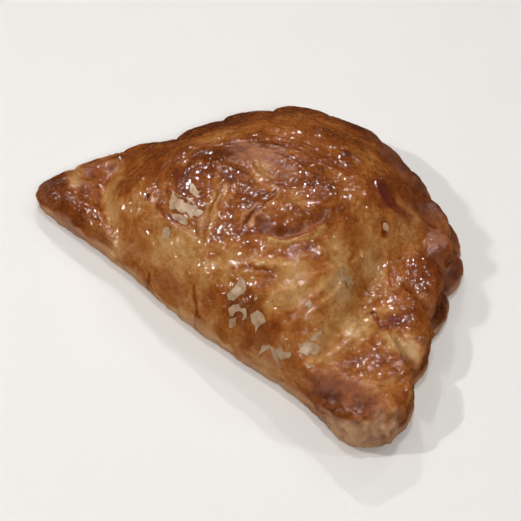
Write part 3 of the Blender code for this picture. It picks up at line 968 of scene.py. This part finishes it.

# %% [markdown]
# ## Dark lines, syrup, bare dough and dull places
#
# Cracks and the bottoms of furrows are dark: partly darker crust, partly painted shade in these
# recesses. Three small specks are darker still; two of them are holes, painted near black as the
# shade inside them. Syrup that ran together burnt to a dark red brown. Bare dough shows on ridges,
# and the glaze is dull where it soaked in.

# %% Other marks
# Partly painted shade: lines in cracks and at the bottoms of furrows darken the bake.
DARK_AND_SHADED_LINES = (
    (0.45, 0.16, 1.6, -7, 3, -11, 3.2, -20, 4.6, -26),
    (2.2, 0.13, 7.5, -21.8, 10.5, -21.6, 13.5, -20.4, 16.4, -15.8, 17.4, -10.5, 17.4, -6.8),
    (0.5, 0.1, -10.6, -19, -8.2, -26, -4.4, -33), (0.6, 0.26, 9, -36, 14, -33, 19.5, -30.6),
    # Painted shade: the next two rows are holes, darkened as the shade inside them.
    (1.0, 0.08, 33, 3, 36, -6, 38, -13), (0.5, 1.0, 44.3, -14.4, 44.7, -14.8),
    (0.5, 1.0, -30.5, -31.1, -30.1, -31.6), (0.8, 0.35, 29, 9, 31, 7),
    (0.6, 0.25, -26, -31.5, -19, -34.5, -13, -33.6), (0.5, 0.3, -17.5, -45.1, -16.6, -48),
    (0.5, 0.3, 0, -42.8, 2.2, -44.8, 4.6, -48),
)
SYRUPY = (
    (3.2, 0.7, 21, 16.5, 25, 15.5, 30, 17), (1.4, 0.5, 22, 15, 26, 14.5),
    (1.6, 1.0, 50.0, -12.5, 53.0, -10.5), (1.2, 0.8, 46.5, -16, 49, -16),
    (1.6, 0.5, -27, -21, -25, -23), (3.6, 0.22, 9.5, -14, 10.5, -13),
)
DOUGHY = (
    (2.4, 0.3, -66, -31, -59, -34), (2.0, 0.5, 34, -15, 36, -21),
    (2.2, 0.2, 54.0, -17.6, 60, -16.0), (4.6, 0.2, -13, -3, -6, -5),
    (0.7, 0.3, -12, -18, -9.6, -25, -6.2, -33), (0.7, 0.3, -9.6, -18, -7.0, -25, -3.2, -33),
    (2.5, 0.3, 27, -46, 40, -46),
)
MATT = (
    (6.0, 0.55, -15, -3, -1, -3), (8.0, 0.5, 8, 34, 22, 32, 38, 24),
    (5.0, 0.3, -66, -36, -60, -40), (4.5, 0.7, 48, -43, 62, -39), (7.0, 0.35, -37, -12, -18, -1),
    (2.4, 0.8, 8, -22, 14, -21, 17.5, -13, 17.6, -7), (4.0, 0.8, 52, -42, 64, -38),
    (3.6, 0.6, 55, -17, 61, -13), (6.0, 0.45, -46, -46, 30, -47), (3.0, 0.5, -70, -41, -66, -42),
)
print(len(DARK_AND_SHADED_LINES), "dark lines and", len(SYRUPY), "places with burnt syrup")

# %% [markdown]
# ## Where the crimps and the leaves are
#
# Grooves, lips and the seam get their own colours: a groove's bottom and the seam are darkened as
# painted shade, a lip that stands up is paler where it has split, and the lower leaf's top is
# brown.
# So each point is told how far it is from the edge, from the nearest groove and from the upper
# leaf's lip.

# %% Distances to the edge
POINT_ANGLE, POINT_REACH = polar(XY)
EDGE_SHARE = at_edge(POINT_ANGLE, SHARE)
EDGE_IN = at_edge(POINT_ANGLE, COLUMN_REACH) - POINT_REACH


def near_edge(width):
    """1 at the edge, falling to 0 inward over about a width."""
    return smooth_step(1.3 - EDGE_IN / width)


ON_CRIMPS = at_edge(POINT_ANGLE, CRIMPED)
GROOVE_AWAY, GROOVE_STRENGTH = nearest_notch(EDGE_SHARE, EDGE_IN)
# Painted shade: the crevice at a groove's bottom is darkened, in the bake and in the syrup colour.
CREVICE_SHADE = bell(GROOVE_AWAY, 0.6) * GROOVE_STRENGTH * ON_CRIMPS * near_edge(9.0)
GROOVE_SIDE = bell(GROOVE_AWAY + 2.2, 2.4) * GROOVE_STRENGTH * ON_CRIMPS * near_edge(10.0)
LIP_IN = ring_reach(leaf_edges()[1], POINT_ANGLE) - POINT_REACH
LIP_EDGE = bell(LIP_IN - 0.9, 0.6) * ON_CRIMPS * (HEIGHT > SEAM_HEIGHT + 1.0)
deep = np.clip(GROOVE_STRENGTH * 1.6 - 0.6, 0.0, 1.0)
LIP_EDGE += bell(GROOVE_AWAY - 1.0, 0.5) * deep * ON_CRIMPS * near_edge(9.0)
# Painted shade: the seam between the two leaves is darkened, where shade falls into it.
SEAM_SHADE = bell(HEIGHT - SEAM_HEIGHT + 0.2, 0.7) * ON_CRIMPS * WALLED
ON_LEAF = ON_CRIMPS * smooth_step((SEAM_HEIGHT - 0.3 - HEIGHT) / 0.8)
ON_LEAF *= smooth_step((OUT[:, 2] - 0.25) / 0.3)
BACK_RIM = near_edge(14.0) * smooth_step((BEHIND - 2.0) / 16.0)
print("points in a crevice:", int((CREVICE_SHADE > 0.3).sum()))

# %% [markdown]
# ## The dough that stayed pale
#
# The low wall was sheltered near the tray, and the fold's end at the right tip was torn open and
# shows bare layers. Both are pale and dull, with an uneven upper border.

# %% Low wall and tip
wall_top = 6.0 + 1.2 * (1.0 - ON_CRIMPS) + 2.6 * noise(POINTS, 12.0, 65)
wall_top += 1.8 * noise(POINTS, 4.0, 75)
LOW_WALL = WALLED * smooth_step((wall_top - HEIGHT) / 3.2)
TORN_END = ((4.6, 1.3, 55, -48, 64, -46, 71.5, -40),)
TIP_FACE = np.clip(marks(TORN_END) * FREE * (0.8 + 0.6 * noise(POINTS, 3.0, 69)), 0.0, 1.0)
torn_top = 12.0 + 0.35 * (XY[:, 0] - 56.0) + 1.5 * noise(POINTS, 5.0, 71)
TIP_FACE *= smooth_step((torn_top - HEIGHT) / 2.0)
print("low wall points:", int((LOW_WALL > 0.5).sum()))

# %% [markdown]
# ## Bake, glaze and dough
#
# Now the numbers that the finish reads are summed up: how far each place is baked, with some
# painted shade in it, how much glaze it has, how much of it is bare dough, and where syrup burnt
# dark, with the crevices' painted shade added to it.

# %% Bake, glaze and dough
bake = 0.46 + 0.13 * noise(POINTS, 16.0, 61) + 0.09 * noise(POINTS, 6.0, 62)
STREAKY = (1.0 - 0.8 * WALLED) * (1.0 - 0.75 * smooth_step((BEHIND - 2.0) / 16.0))
bake += (0.07 * WIDE_STREAKS + 0.05 * FINE_STREAKS) * STREAKY + 0.03 * noise(POINTS, 2.2, 63)
bake -= 0.35 * LAYER_EDGES * PATCHES * (1.0 - WALLED)
# Painted shade: the upper crust near the back edge is darkened.
bake += 0.22 * smooth_step(1.0 - EDGE_IN / 7.0) * smooth_step((BEHIND + 5.0) / 20.0) * UPPER
bake += marks(BROWNED_AND_SHADED) - marks(PALED_AND_HIGHLIT) + marks(DARK_AND_SHADED_LINES, 0.35)
# Painted shade: the crevices and the seam are baked darker here.
bake += 0.30 * CREVICE_SHADE - 0.10 * GROOVE_SIDE + 0.30 * SEAM_SHADE + 0.20 * ON_LEAF
# On the torn end the bake follows the folds' relief: ridges painted paler as painted highlight,
# creases darker as painted shade.
bake -= 0.10 * LIP_EDGE + (0.10 + 0.34 * FOLDS) * TIP_FACE
blotched = 0.16 + 0.16 * noise(POINTS * (1.0, 1.0, 2.0), 5.0, 77)
bake -= blotched * LOW_WALL * (1.0 - SEAM_SHADE)
glaze_left = 1.05 + 0.40 * noise(POINTS, 7.0, 64) + 0.15 * noise(POINTS, 2.5, 76) - marks(MATT)
glaze_left -= 0.35 * (BACK_RIM + GROOVE_SIDE) + 0.3 * ON_LEAF + 0.5 * LIP_EDGE
glaze_left -= 0.75 * LOW_WALL + 0.9 * TIP_FACE
dough = 0.20 * GROOVE_SIDE + (0.62 + 0.35 * noise(POINTS, 7.0, 78)) * LOW_WALL
dough += TIP_FACE + marks(DOUGHY)
give_values(
    crust,
    bake=np.clip(bake, 0.0, 1.0),
    glaze=smooth_step(glaze_left),
    dough=np.clip(dough, 0.0, 1.0),
    wall=WALLED * LOW,
    # The crevices' painted shade is added to the syrup value.
    syrup=np.clip(marks(SYRUPY, 0.8) + 0.4 * CREVICE_SHADE, 0.0, 1.0),
)
print("bake from", round(bake.min(), 2), "to", round(bake.max(), 2), "mean", round(bake.mean(), 2))

# %% [markdown]
# ## Sums of sockets
#
# Shader maths is easier to read as sums than as boxes and wires. This small class wraps an output
# socket, so that an expression such as `1 - glaze` adds the Math node itself. Colours go through
# separate calls, because a Math node would turn a colour grey.

# %% Socket maths
class Tap:
    """An output socket that can be added, multiplied and so on."""

    def __init__(self, tree, socket):
        self.tree, self.socket = tree, socket

    def node(self, kind, output=0, settings=None, **sockets):
        """Adds a node of a kind: its settings come first, then its sockets' values or links."""
        made = self.tree.nodes.new(kind if "Node" in kind else "ShaderNode" + kind)
        for name, value in (settings or {}).items():
            if name == "stops":
                stops = made.color_ramp.elements
                stops.remove(stops[1])
                for place, colour in value[1:]:
                    stops.new(place).color = (*colour, 1.0)
                stops[0].position, stops[0].color = value[0][0], (*value[0][1], 1.0)
            else:
                setattr(made, name, value)
        plug(made, **sockets)
        return Tap(self.tree, made.outputs[output])

    def maths(self, operation, a, b, clamp=False):
        """Adds a Math node on two taps or numbers."""
        return self.node("Math", settings={"operation": operation, "use_clamp": clamp}, _0=a, _1=b)

    def __add__(self, other):
        return self.maths("ADD", self, other)

    def __radd__(self, other):
        return self.maths("ADD", other, self)

    def __sub__(self, other):
        return self.maths("SUBTRACT", self, other)

    def __rsub__(self, other):
        return self.maths("SUBTRACT", other, self)

    def __mul__(self, other):
        return self.maths("MULTIPLY", self, other)

    def __rmul__(self, other):
        return self.maths("MULTIPLY", other, self)

    def clamped(self):
        """The same value, kept between 0 and 1."""
        return self.maths("ADD", self, 0.0, clamp=True)


def plug(node, **sockets):
    """Links or sets a node's inputs by name, or by number, as in _6."""
    for name, value in sockets.items():
        label = int(name[1:]) if name[1:].isdigit() else name.replace("_", " ")
        if isinstance(value, Tap):
            value.tree.links.new(value.socket, node.inputs[label])
        else:
            node.inputs[label].default_value = value


print("socket maths ready")

# %% [markdown]
# ## A few common nodes
#
# The finishes use the same few nodes again and again: noise, a ramp of colours, a mask, a mix of
# two colours and a stored number. Each gets a short function, so that a finish reads as a recipe.

# %% Common nodes
def new_finish(name):
    """A material, its shader and a tap that starts its sums: object coordinates."""
    material = bpy.data.materials.new(name)
    material.use_nodes = True
    tree = material.node_tree
    coordinates = tree.nodes.new("ShaderNodeTexCoord")
    return material, tree.nodes["Principled BSDF"], Tap(tree, coordinates.outputs["Object"])


def value_of(tap, name):
    """A number that a piece stores at its points."""
    return tap.node("Attribute", output=2, settings={"attribute_name": name})


def grain_noise(tap, size, detail=2.0, roughness=0.5):
    """Noise with features of about size metres, 0 to 1."""
    return tap.node("TexNoise", Vector=tap, Scale=1.0 / size, Detail=detail, Roughness=roughness)


def ramp(tap, *stops):
    """A colour for a number. Each stop is a place from 0 to 1 and the colour there."""
    return tap.node("ValToRGB", settings={"stops": stops}, Fac=tap)


def mask(tap, low, high):
    """0 below low, 1 above high and even between."""
    return ramp(tap, (low, (0, 0, 0)), (high, (1, 1, 1)))


def mixed(tap, amount, first, second):
    """Two colours mixed by an amount."""
    settings = {"data_type": "RGBA"}
    return tap.node("Mix", output=2, settings=settings, _0=amount, _6=first, _7=second)


def vectors(tap, first, second, operation="SUBTRACT", output=0):
    """Vector maths on two vectors."""
    return tap.node("VectorMath", output, {"operation": operation}, _0=first, _1=second)


print("a mask is a ramp from black to white")

# %% [markdown]
# ## The crust's finish
#
# The bake runs through a ramp of crust colours, from pale dough through gold and chestnut to
# burnt sugar, with fine noise laid over it so that no patch is even. The glaze makes the surface
# smooth, and its tiny facets, each with its own lean, catch the small lamps as single glints. A
# facet is the cell of a Voronoi pattern, and its height is the way from its middle times a random
# lean. Bare dough stays rough.

# %% Crust material
CRUST_COLOURS = (
    (0.00, (0.60, 0.38, 0.17)),
    (0.20, (0.51, 0.255, 0.085)),
    (0.38, (0.36, 0.116, 0.022)),
    (0.52, (0.235, 0.057, 0.008)),
    (0.70, (0.120, 0.023, 0.003)),
    (1.00, (0.035, 0.008, 0.004)),
)
DOUGH_COLOUR = (0.43, 0.255, 0.155, 1.0)
FLECK_COLOUR = (0.54, 0.30, 0.11, 1.0)
SYRUP_AND_SHADE_COLOUR = (0.15, 0.024, 0.018, 1.0)

FACET = 0.0008
finish, shader, at = new_finish("glazed_crust")
fine = grain_noise(at, 0.0011, detail=4.0, roughness=0.6)
finer = grain_noise(at, 0.00045)
freckles = grain_noise(at, 0.0034, detail=3.0, roughness=0.6)
foam = mask(grain_noise(at, 0.006), 0.46, 0.60)
flecks = mask(grain_noise(at, 0.0009, detail=3.0, roughness=0.65), 0.52, 0.68)

baked = value_of(at, "bake") + (fine - 0.5) * 0.34 + (finer - 0.5) * 0.20 + (freckles - 0.5) * 0.22
colour = ramp(baked.clamped(), *CRUST_COLOURS)
colour = mixed(at, flecks * (foam * 0.22 + 0.06), colour, FLECK_COLOUR)
dough = value_of(at, "dough")
colour = mixed(at, (dough * (fine * 0.8 + 0.45)).clamped() * 0.8, colour, DOUGH_COLOUR)
# The syrup value also holds the crevices' painted shade, so this dark red brown paints shade
# there.
colour = mixed(at, (value_of(at, "syrup") * 0.72).clamped(), colour, SYRUP_AND_SHADE_COLOUR)

facet_chance = at.node("TexVoronoi", output=1, Vector=at, Scale=1.0 / FACET)
facet_middle = at.node("TexVoronoi", output=2, Vector=at, Scale=1.0 / FACET)
lean = vectors(at, facet_chance, (0.5, 0.5, 0.5))
facets = vectors(at, vectors(at, at, facet_middle), lean, "DOT_PRODUCT", output=1)
glaze = value_of(at, "glaze")
gloss = 0.76 - glaze * 0.655 + (fine - 0.5) * 0.04
height = facets * 0.72 * (foam * 0.6 + 0.4) * glaze
height = height + grain_noise(at, 0.0026, detail=1.0) * 0.0004 + fine * 0.00005
height = height + grain_noise(at, 0.0016, detail=3.0, roughness=0.6) * dough * 0.0006
layered = at.node("Mapping", Vector=at, Scale=(1.0, 1.0, 9.0))
height = height + grain_noise(layered, 0.005, detail=3.0) * value_of(at, "wall") * 0.0004
bump = at.node("Bump", Height=height, Strength=0.9, Distance=1.0)
plug(shader, Base_Color=colour, Roughness=gloss.clamped(), Normal=bump, IOR=1.34)
plug(shader, Subsurface_Weight=0.08, Subsurface_Radius=(1.0, 0.45, 0.2), Subsurface_Scale=0.0015)
crust.data.materials.append(finish)
print("crust finish:", len(at.tree.nodes), "nodes")

# %% [markdown]
# ## Loose flakes
#
# Thin sheets of pastry flake off the top and stick in the syrup. There are only a few, and each
# has its own shape, so each one is given by its outline in plan.

# %% Outlines of the flakes
# x and y of each corner in turn.
FLAKES = (
    (-20.6, -22.7, -19.4, -22.3, -15.4, -24.0, -13.6, -26.6, -14.9, -26.0, -17.9, -25.2),
    (-23.7, -26.8, -21.4, -27.0, -21.0, -27.9, -15.4, -27.7, -13.1, -27.8, -13.5, -28.6, -11.9,
     -28.2, -11.3, -28.9),
    (-23.7, -26.8, -19.6, -28.6, -15.8, -29.2, -13.3, -28.9, -11.2, -28.9, -9.4, -28.4, -8.8,
     -29.3, -9.9, -30.6, -11.1, -30.5, -11.2, -32.0, -12.6, -31.3, -13.8, -31.1, -15.4, -32.2,
     -17.3, -31.9, -19.7, -32.3, -21.8, -30.2),
    (-18.3, -33.3, -15.9, -32.6, -12.5, -31.9, -11.4, -33.1, -12.6, -34.0, -14.9, -33.7, -16.5,
     -34.2),
    (12.9, -36.6, 13.9, -36.2, 14.8, -36.7, 16.4, -37.6, 15.9, -38.6, 14.3, -40.9, 12.4, -41.3,
     11.6, -40.6, 12.7, -38.8),
    (13.6, -42.6, 14.3, -41.5, 16.2, -41.0, 17.7, -41.3, 19.3, -40.9, 20.5, -41.7, 19.1, -42.6,
     18.9, -41.8, 17.4, -41.8, 16.2, -42.1, 15.9, -43.0, 14.6, -43.1),
    (15.1, -43.5, 17.3, -42.9, 17.7, -43.9, 16.0, -44.6),
    (21.0, -41.2, 22.7, -39.8, 24.9, -39.9, 26.4, -40.5, 25.0, -41.9, 24.5, -43.1, 23.8, -42.3,
     22.2, -42.1),
    (29.8, -42.9, 31.2, -42.8, 35.6, -44.4, 32.4, -43.9),
    (32.0, -42.9, 33.6, -42.1, 34.9, -42.5, 36.9, -41.7, 37.3, -42.5, 35.6, -43.3, 33.0, -43.7),
    (36.7, -39.0, 38.3, -37.3, 41.1, -35.9, 42.2, -35.8, 42.7, -38.2, 41.2, -38.6, 41.3, -39.8,
     38.3, -40.8, 38.6, -39.8),
    (38.8, -36.8, 39.1, -35.6, 39.7, -32.9, 40.5, -33.1, 40.4, -35.6),
    (32.6, -31.3, 33.1, -29.7, 34.3, -30.0, 34.2, -31.6),
    (27.2, -44.9, 27.9, -43.6, 29.9, -42.8, 30.1, -43.3, 28.6, -44.1),
    (33.5, -13.5, 35.4, -12.9, 35.2, -14.6, 35.8, -16.3, 34.2, -17.0, 33.9, -15.2),
    (-17.9, -36.9, -16.3, -36.1, -14.9, -36.8, -15.2, -38.1, -17.0, -38.4),
    (28.5, 8.6, 30.1, 9.4, 31.2, 8.0, 29.6, 7.3),
)
print(len(FLAKES), "outlines")

# %% [markdown]
# ## Flakes on the crust
#
# Each outline is filled with a fine net, dropped on the crust by casting a ray down on it, and
# lifted a little: one side curls up. A second sheet below it and a strip round its edge close it,
# so that each flake has a real thickness of about a fifth of a millimetre.

# %% Flakes
FLAKE_STEP = 0.45
FLAKE_THICK = 0.2
FLAKE_RAGGED = 0.13
FLAKE_LIFT = 0.20
FLAKE_CURL = 0.7
SIDE_STEPS = 6
crust_faces = TRIANGLES[0].tolist() + QUADS.tolist()
crust_tree = BVHTree.FromPolygons(SHAPED.tolist(), crust_faces)
chance = np.random.default_rng(71)


def ground(x, y):
    """Where a point in plan lands on the crust, and the crust's normal there."""
    hit, normal, _, _ = crust_tree.ray_cast(Vector((x, y, 80.0)), Vector((0.0, 0.0, -1.0)))
    return hit, normal


def closed_sheet(top, faces):
    """A sheet with a second one below it and a strip round its edge."""
    below = len(top)
    half = {(face[k], face[(k + 1) % len(face)]) for face in faces for k in range(len(face))}
    border = sorted((a, b) for a, b in half if (b, a) not in half)
    closed = [*faces, *[[v + below for v in reversed(face)] for face in faces]]
    closed += [[b, a, a + below, b + below] for a, b in border]
    return np.concatenate([top, top - (0.0, 0.0, FLAKE_THICK)]), closed


def flake(outline):
    """Points and faces of one closed thin flake that lies on the crust."""
    ends = np.array(outline).reshape(-1, 2)
    share = np.arange(SIDE_STEPS)[:, None] / SIDE_STEPS
    sides = zip(ends, np.roll(ends, -1, axis=0))
    ring = np.concatenate([a + (b - a) * share for a, b in sides])
    flat = np.c_[ring, np.zeros(len(ring))]
    ring = ring + FLAKE_RAGGED * np.c_[noise(flat, 0.8, 72), noise(flat, 0.8, 73)]
    low, high = ring.min(axis=0), ring.max(axis=0)
    grid = itertools.product(*(np.arange(*ends_of, FLAKE_STEP) for ends_of in zip(low, high)))
    every = [Vector(p) for p in [*ring.tolist(), *grid]]
    edges = [(i, (i + 1) % len(ring)) for i in range(len(ring))]
    places, _, faces, _, _, _ = delaunay_2d_cdt(every, edges, [], 1, 1e-5)
    used = sorted({v for face in faces for v in face})
    number = {v: i for i, v in enumerate(used)}
    faces = [[number[v] for v in face] for face in faces]
    plan = np.array([places[v] for v in used])
    middle, size = plan.mean(axis=0), np.ptp(plan, axis=0).max()
    turn = chance.uniform(0.0, 2.0 * np.pi)
    lean = ((plan - middle) @ (np.cos(turn), np.sin(turn))) / size
    lift = FLAKE_LIFT + FLAKE_CURL * np.clip(lean, 0.0, 1.0) ** 1.5
    lift += 0.10 * noise(np.c_[plan, np.zeros(len(plan))], 1.4, 74)
    top = []
    for (x, y), up in zip(plan, lift):
        hit, normal = ground(x, y)
        top.append(hit + normal * float(max(up, 0.05)))
    return closed_sheet(np.array(top), faces)


def joined(parts):
    """Several pieces of points and faces as one."""
    points, faces, first = [], [], 0
    for part_points, part_faces in parts:
        points.append(part_points)
        faces += [[v + first for v in face] for face in part_faces]
        first += len(part_points)
    return np.concatenate(points), faces


flakes = mesh_object("flakes", *joined([flake(outline) for outline in FLAKES]))
flakes.data.polygons.foreach_set("use_smooth", [False] * len(flakes.data.polygons))
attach(flakes, "root")
print(len(FLAKES), "flakes,", len(flakes.data.polygons), "faces")

# %% [markdown]
# ## The flakes' finish
#
# A loose flake has little syrup on it, so it is matt and pale, with faint darker blotches where
# butter fried it.

# %% Flake material
finish, shader, at = new_finish("dry_flake")
blotch = grain_noise(at, 0.0025, detail=3.0)
colour = ramp(blotch, (0.30, (0.36, 0.19, 0.09)), (0.62, (0.50, 0.33, 0.19)))
rough = grain_noise(at, 0.0008) * 0.3 + 0.38
bump = at.node("Bump", Height=grain_noise(at, 0.0007) * 0.0001, Strength=0.8, Distance=1.0)
plug(shader, Base_Color=colour, Roughness=rough, Normal=bump)
plug(shader, Subsurface_Weight=0.15, Subsurface_Radius=(1.0, 0.5, 0.25), Subsurface_Scale=0.001)
flakes.data.materials.append(finish)
print("flake finish:", len(at.tree.nodes), "nodes")

# %% [markdown]
# ## Crumbs
#
# Smaller bits than the flakes lie round them: chips of half a millimetre to one and a half. They
# are all alike but for size and turn, so Geometry Nodes scatter them. The tree's sizes are named
# inputs, and a fixed seed gives the same crumbs each time. A number stored on the crust says
# where they lie.

# %% Where the crumbs lie
CRUMBY = (
    (5.0, 1.0, 12, -38, 26, -42), (4.5, 0.8, -20, -27, -10, -31), (4.5, 0.8, 33, -42, 41, -37),
    (9.0, 0.1, -30, -20, 0, 10, 34, 4),
)
CRUMB_INPUTS = (
    ("Crust", "NodeSocketObject", crust),
    ("Crumb Radius", "NodeSocketFloat", 0.45 * MM),
    ("Crumb Thickness", "NodeSocketFloat", 0.22 * MM),
    ("Crumbs Per Area", "NodeSocketFloat", 7.0e4),
    ("Raggedness", "NodeSocketFloat", 0.25 * MM),
    ("Seed", "NodeSocketInt", 5),
    ("Finish", "NodeSocketMaterial", flakes.data.materials[0]),
)
level = smooth_step((OUT[:, 2] - 0.5) / 0.2)
give_values(crust, crumby=np.clip(marks(CRUMBY), 0.0, 1.0) * level * UPPER)
print("a crumb is about", 2 * CRUMB_INPUTS[1][2] / MM, "mm across")

# %% [markdown]
# ## The crumbs' node tree
#
# The tree takes the crust, throws points on it where a stored number says so, puts a five-sided
# chip on each and bends the chips with noise. It ends in real, separate faces with their finish
# on.

# %% Crumb tree
def crumb_tree():
    """Geometry Nodes that scatter chips over the crust."""
    tree = bpy.data.node_groups.new("scatter_crumbs", "GeometryNodeTree")
    for name, kind, _ in CRUMB_INPUTS:
        tree.interface.new_socket(name, in_out="INPUT", socket_type=kind)
    tree.interface.new_socket("Geometry", in_out="OUTPUT", socket_type="NodeSocketGeometry")
    given = tree.nodes.new("NodeGroupInput")
    given = {name: Tap(tree, given.outputs[name]) for name, _, _ in CRUMB_INPUTS}
    start, radius = given["Crust"], given["Crumb Radius"]
    skin_of_crust = start.node("GeometryNodeObjectInfo", output="Geometry", Object=start)
    number = {"data_type": "FLOAT"}
    crumby = start.node("GeometryNodeInputNamedAttribute", settings=number, Name="crumby")
    density = crumby * given["Crumbs Per Area"]
    seed = given["Seed"]
    scatter = "GeometryNodeDistributePointsOnFaces"
    spots = start.node(scatter, Mesh=skin_of_crust, Density=density, Seed=seed)
    turned = Tap(tree, spots.socket.node.outputs["Rotation"])
    thick = given["Crumb Thickness"]
    chip = start.node("GeometryNodeMeshCylinder", Vertices=5, Radius=radius, Depth=thick)
    size = start.node("FunctionNodeRandomValue", settings={"data_type": "FLOAT_VECTOR"}, _7=3)
    plug(size.socket.node, Min=(0.5, 0.4, 0.8), Max=(1.5, 1.1, 1.3))
    placed = start.node(
        "GeometryNodeInstanceOnPoints", Points=spots, Instance=chip, Rotation=turned, Scale=size
    )
    full_turn = 2.0 * math.pi
    spin = start.node("FunctionNodeRandomValue", output=1, settings=number, _3=full_turn, _8=4)
    axis = start.node("CombineXYZ", Z=spin)
    placed = start.node("GeometryNodeRotateInstances", Instances=placed, Rotation=axis)
    whole = start.node("GeometryNodeRealizeInstances", Geometry=placed)
    position = start.node("GeometryNodeInputPosition")
    wave = start.node("TexNoise", output=1, Vector=position, Scale=1500.0)
    shift = vectors(start, wave, (0.5, 0.5, 0.5))
    reach = given["Raggedness"] * 2.0
    shift = start.node("VectorMath", settings={"operation": "SCALE"}, _0=shift, Scale=reach)
    bent = start.node("GeometryNodeSetPosition", Geometry=whole, Offset=shift)
    coated = start.node("GeometryNodeSetMaterial", Geometry=bent, Material=given["Finish"])
    tree.links.new(coated.socket, tree.nodes.new("NodeGroupOutput").inputs[0])
    return tree


CRUMB_TREE = crumb_tree()
print("crumb tree:", len(CRUMB_TREE.nodes), "nodes")

# %% [markdown]
# ## The crumbs become a mesh
#
# A modifier runs the tree on an empty mesh. Each input is set by its socket's identifier before
# the object is first evaluated. Then the result is copied to a plain mesh, and the modifier goes
# away with its object.

# %% Crumbs
def grown(name, tree, values):
    """The mesh that a node tree makes, as a plain object without a modifier."""
    host = mesh_object(name + "_seed", np.zeros((0, 3)), [])
    nodes = host.modifiers.new("grow", "NODES")
    nodes.node_group = tree
    sockets = {item.name: item.identifier for item in tree.interface.items_tree}
    for label, _, value in values:
        nodes[sockets[label]] = value
    evaluated = host.evaluated_get(bpy.context.evaluated_depsgraph_get())
    mesh = bpy.data.meshes.new_from_object(evaluated)
    bpy.data.objects.remove(host)
    mesh.name = name
    made = bpy.data.objects.new(name, mesh)
    bpy.context.scene.collection.objects.link(made)
    return made


crumbs = grown("crumbs", CRUMB_TREE, CRUMB_INPUTS)
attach(crumbs, "root")
print("crumbs:", len(crumbs.data.polygons) // 7, "chips,", len(crumbs.data.polygons), "faces")
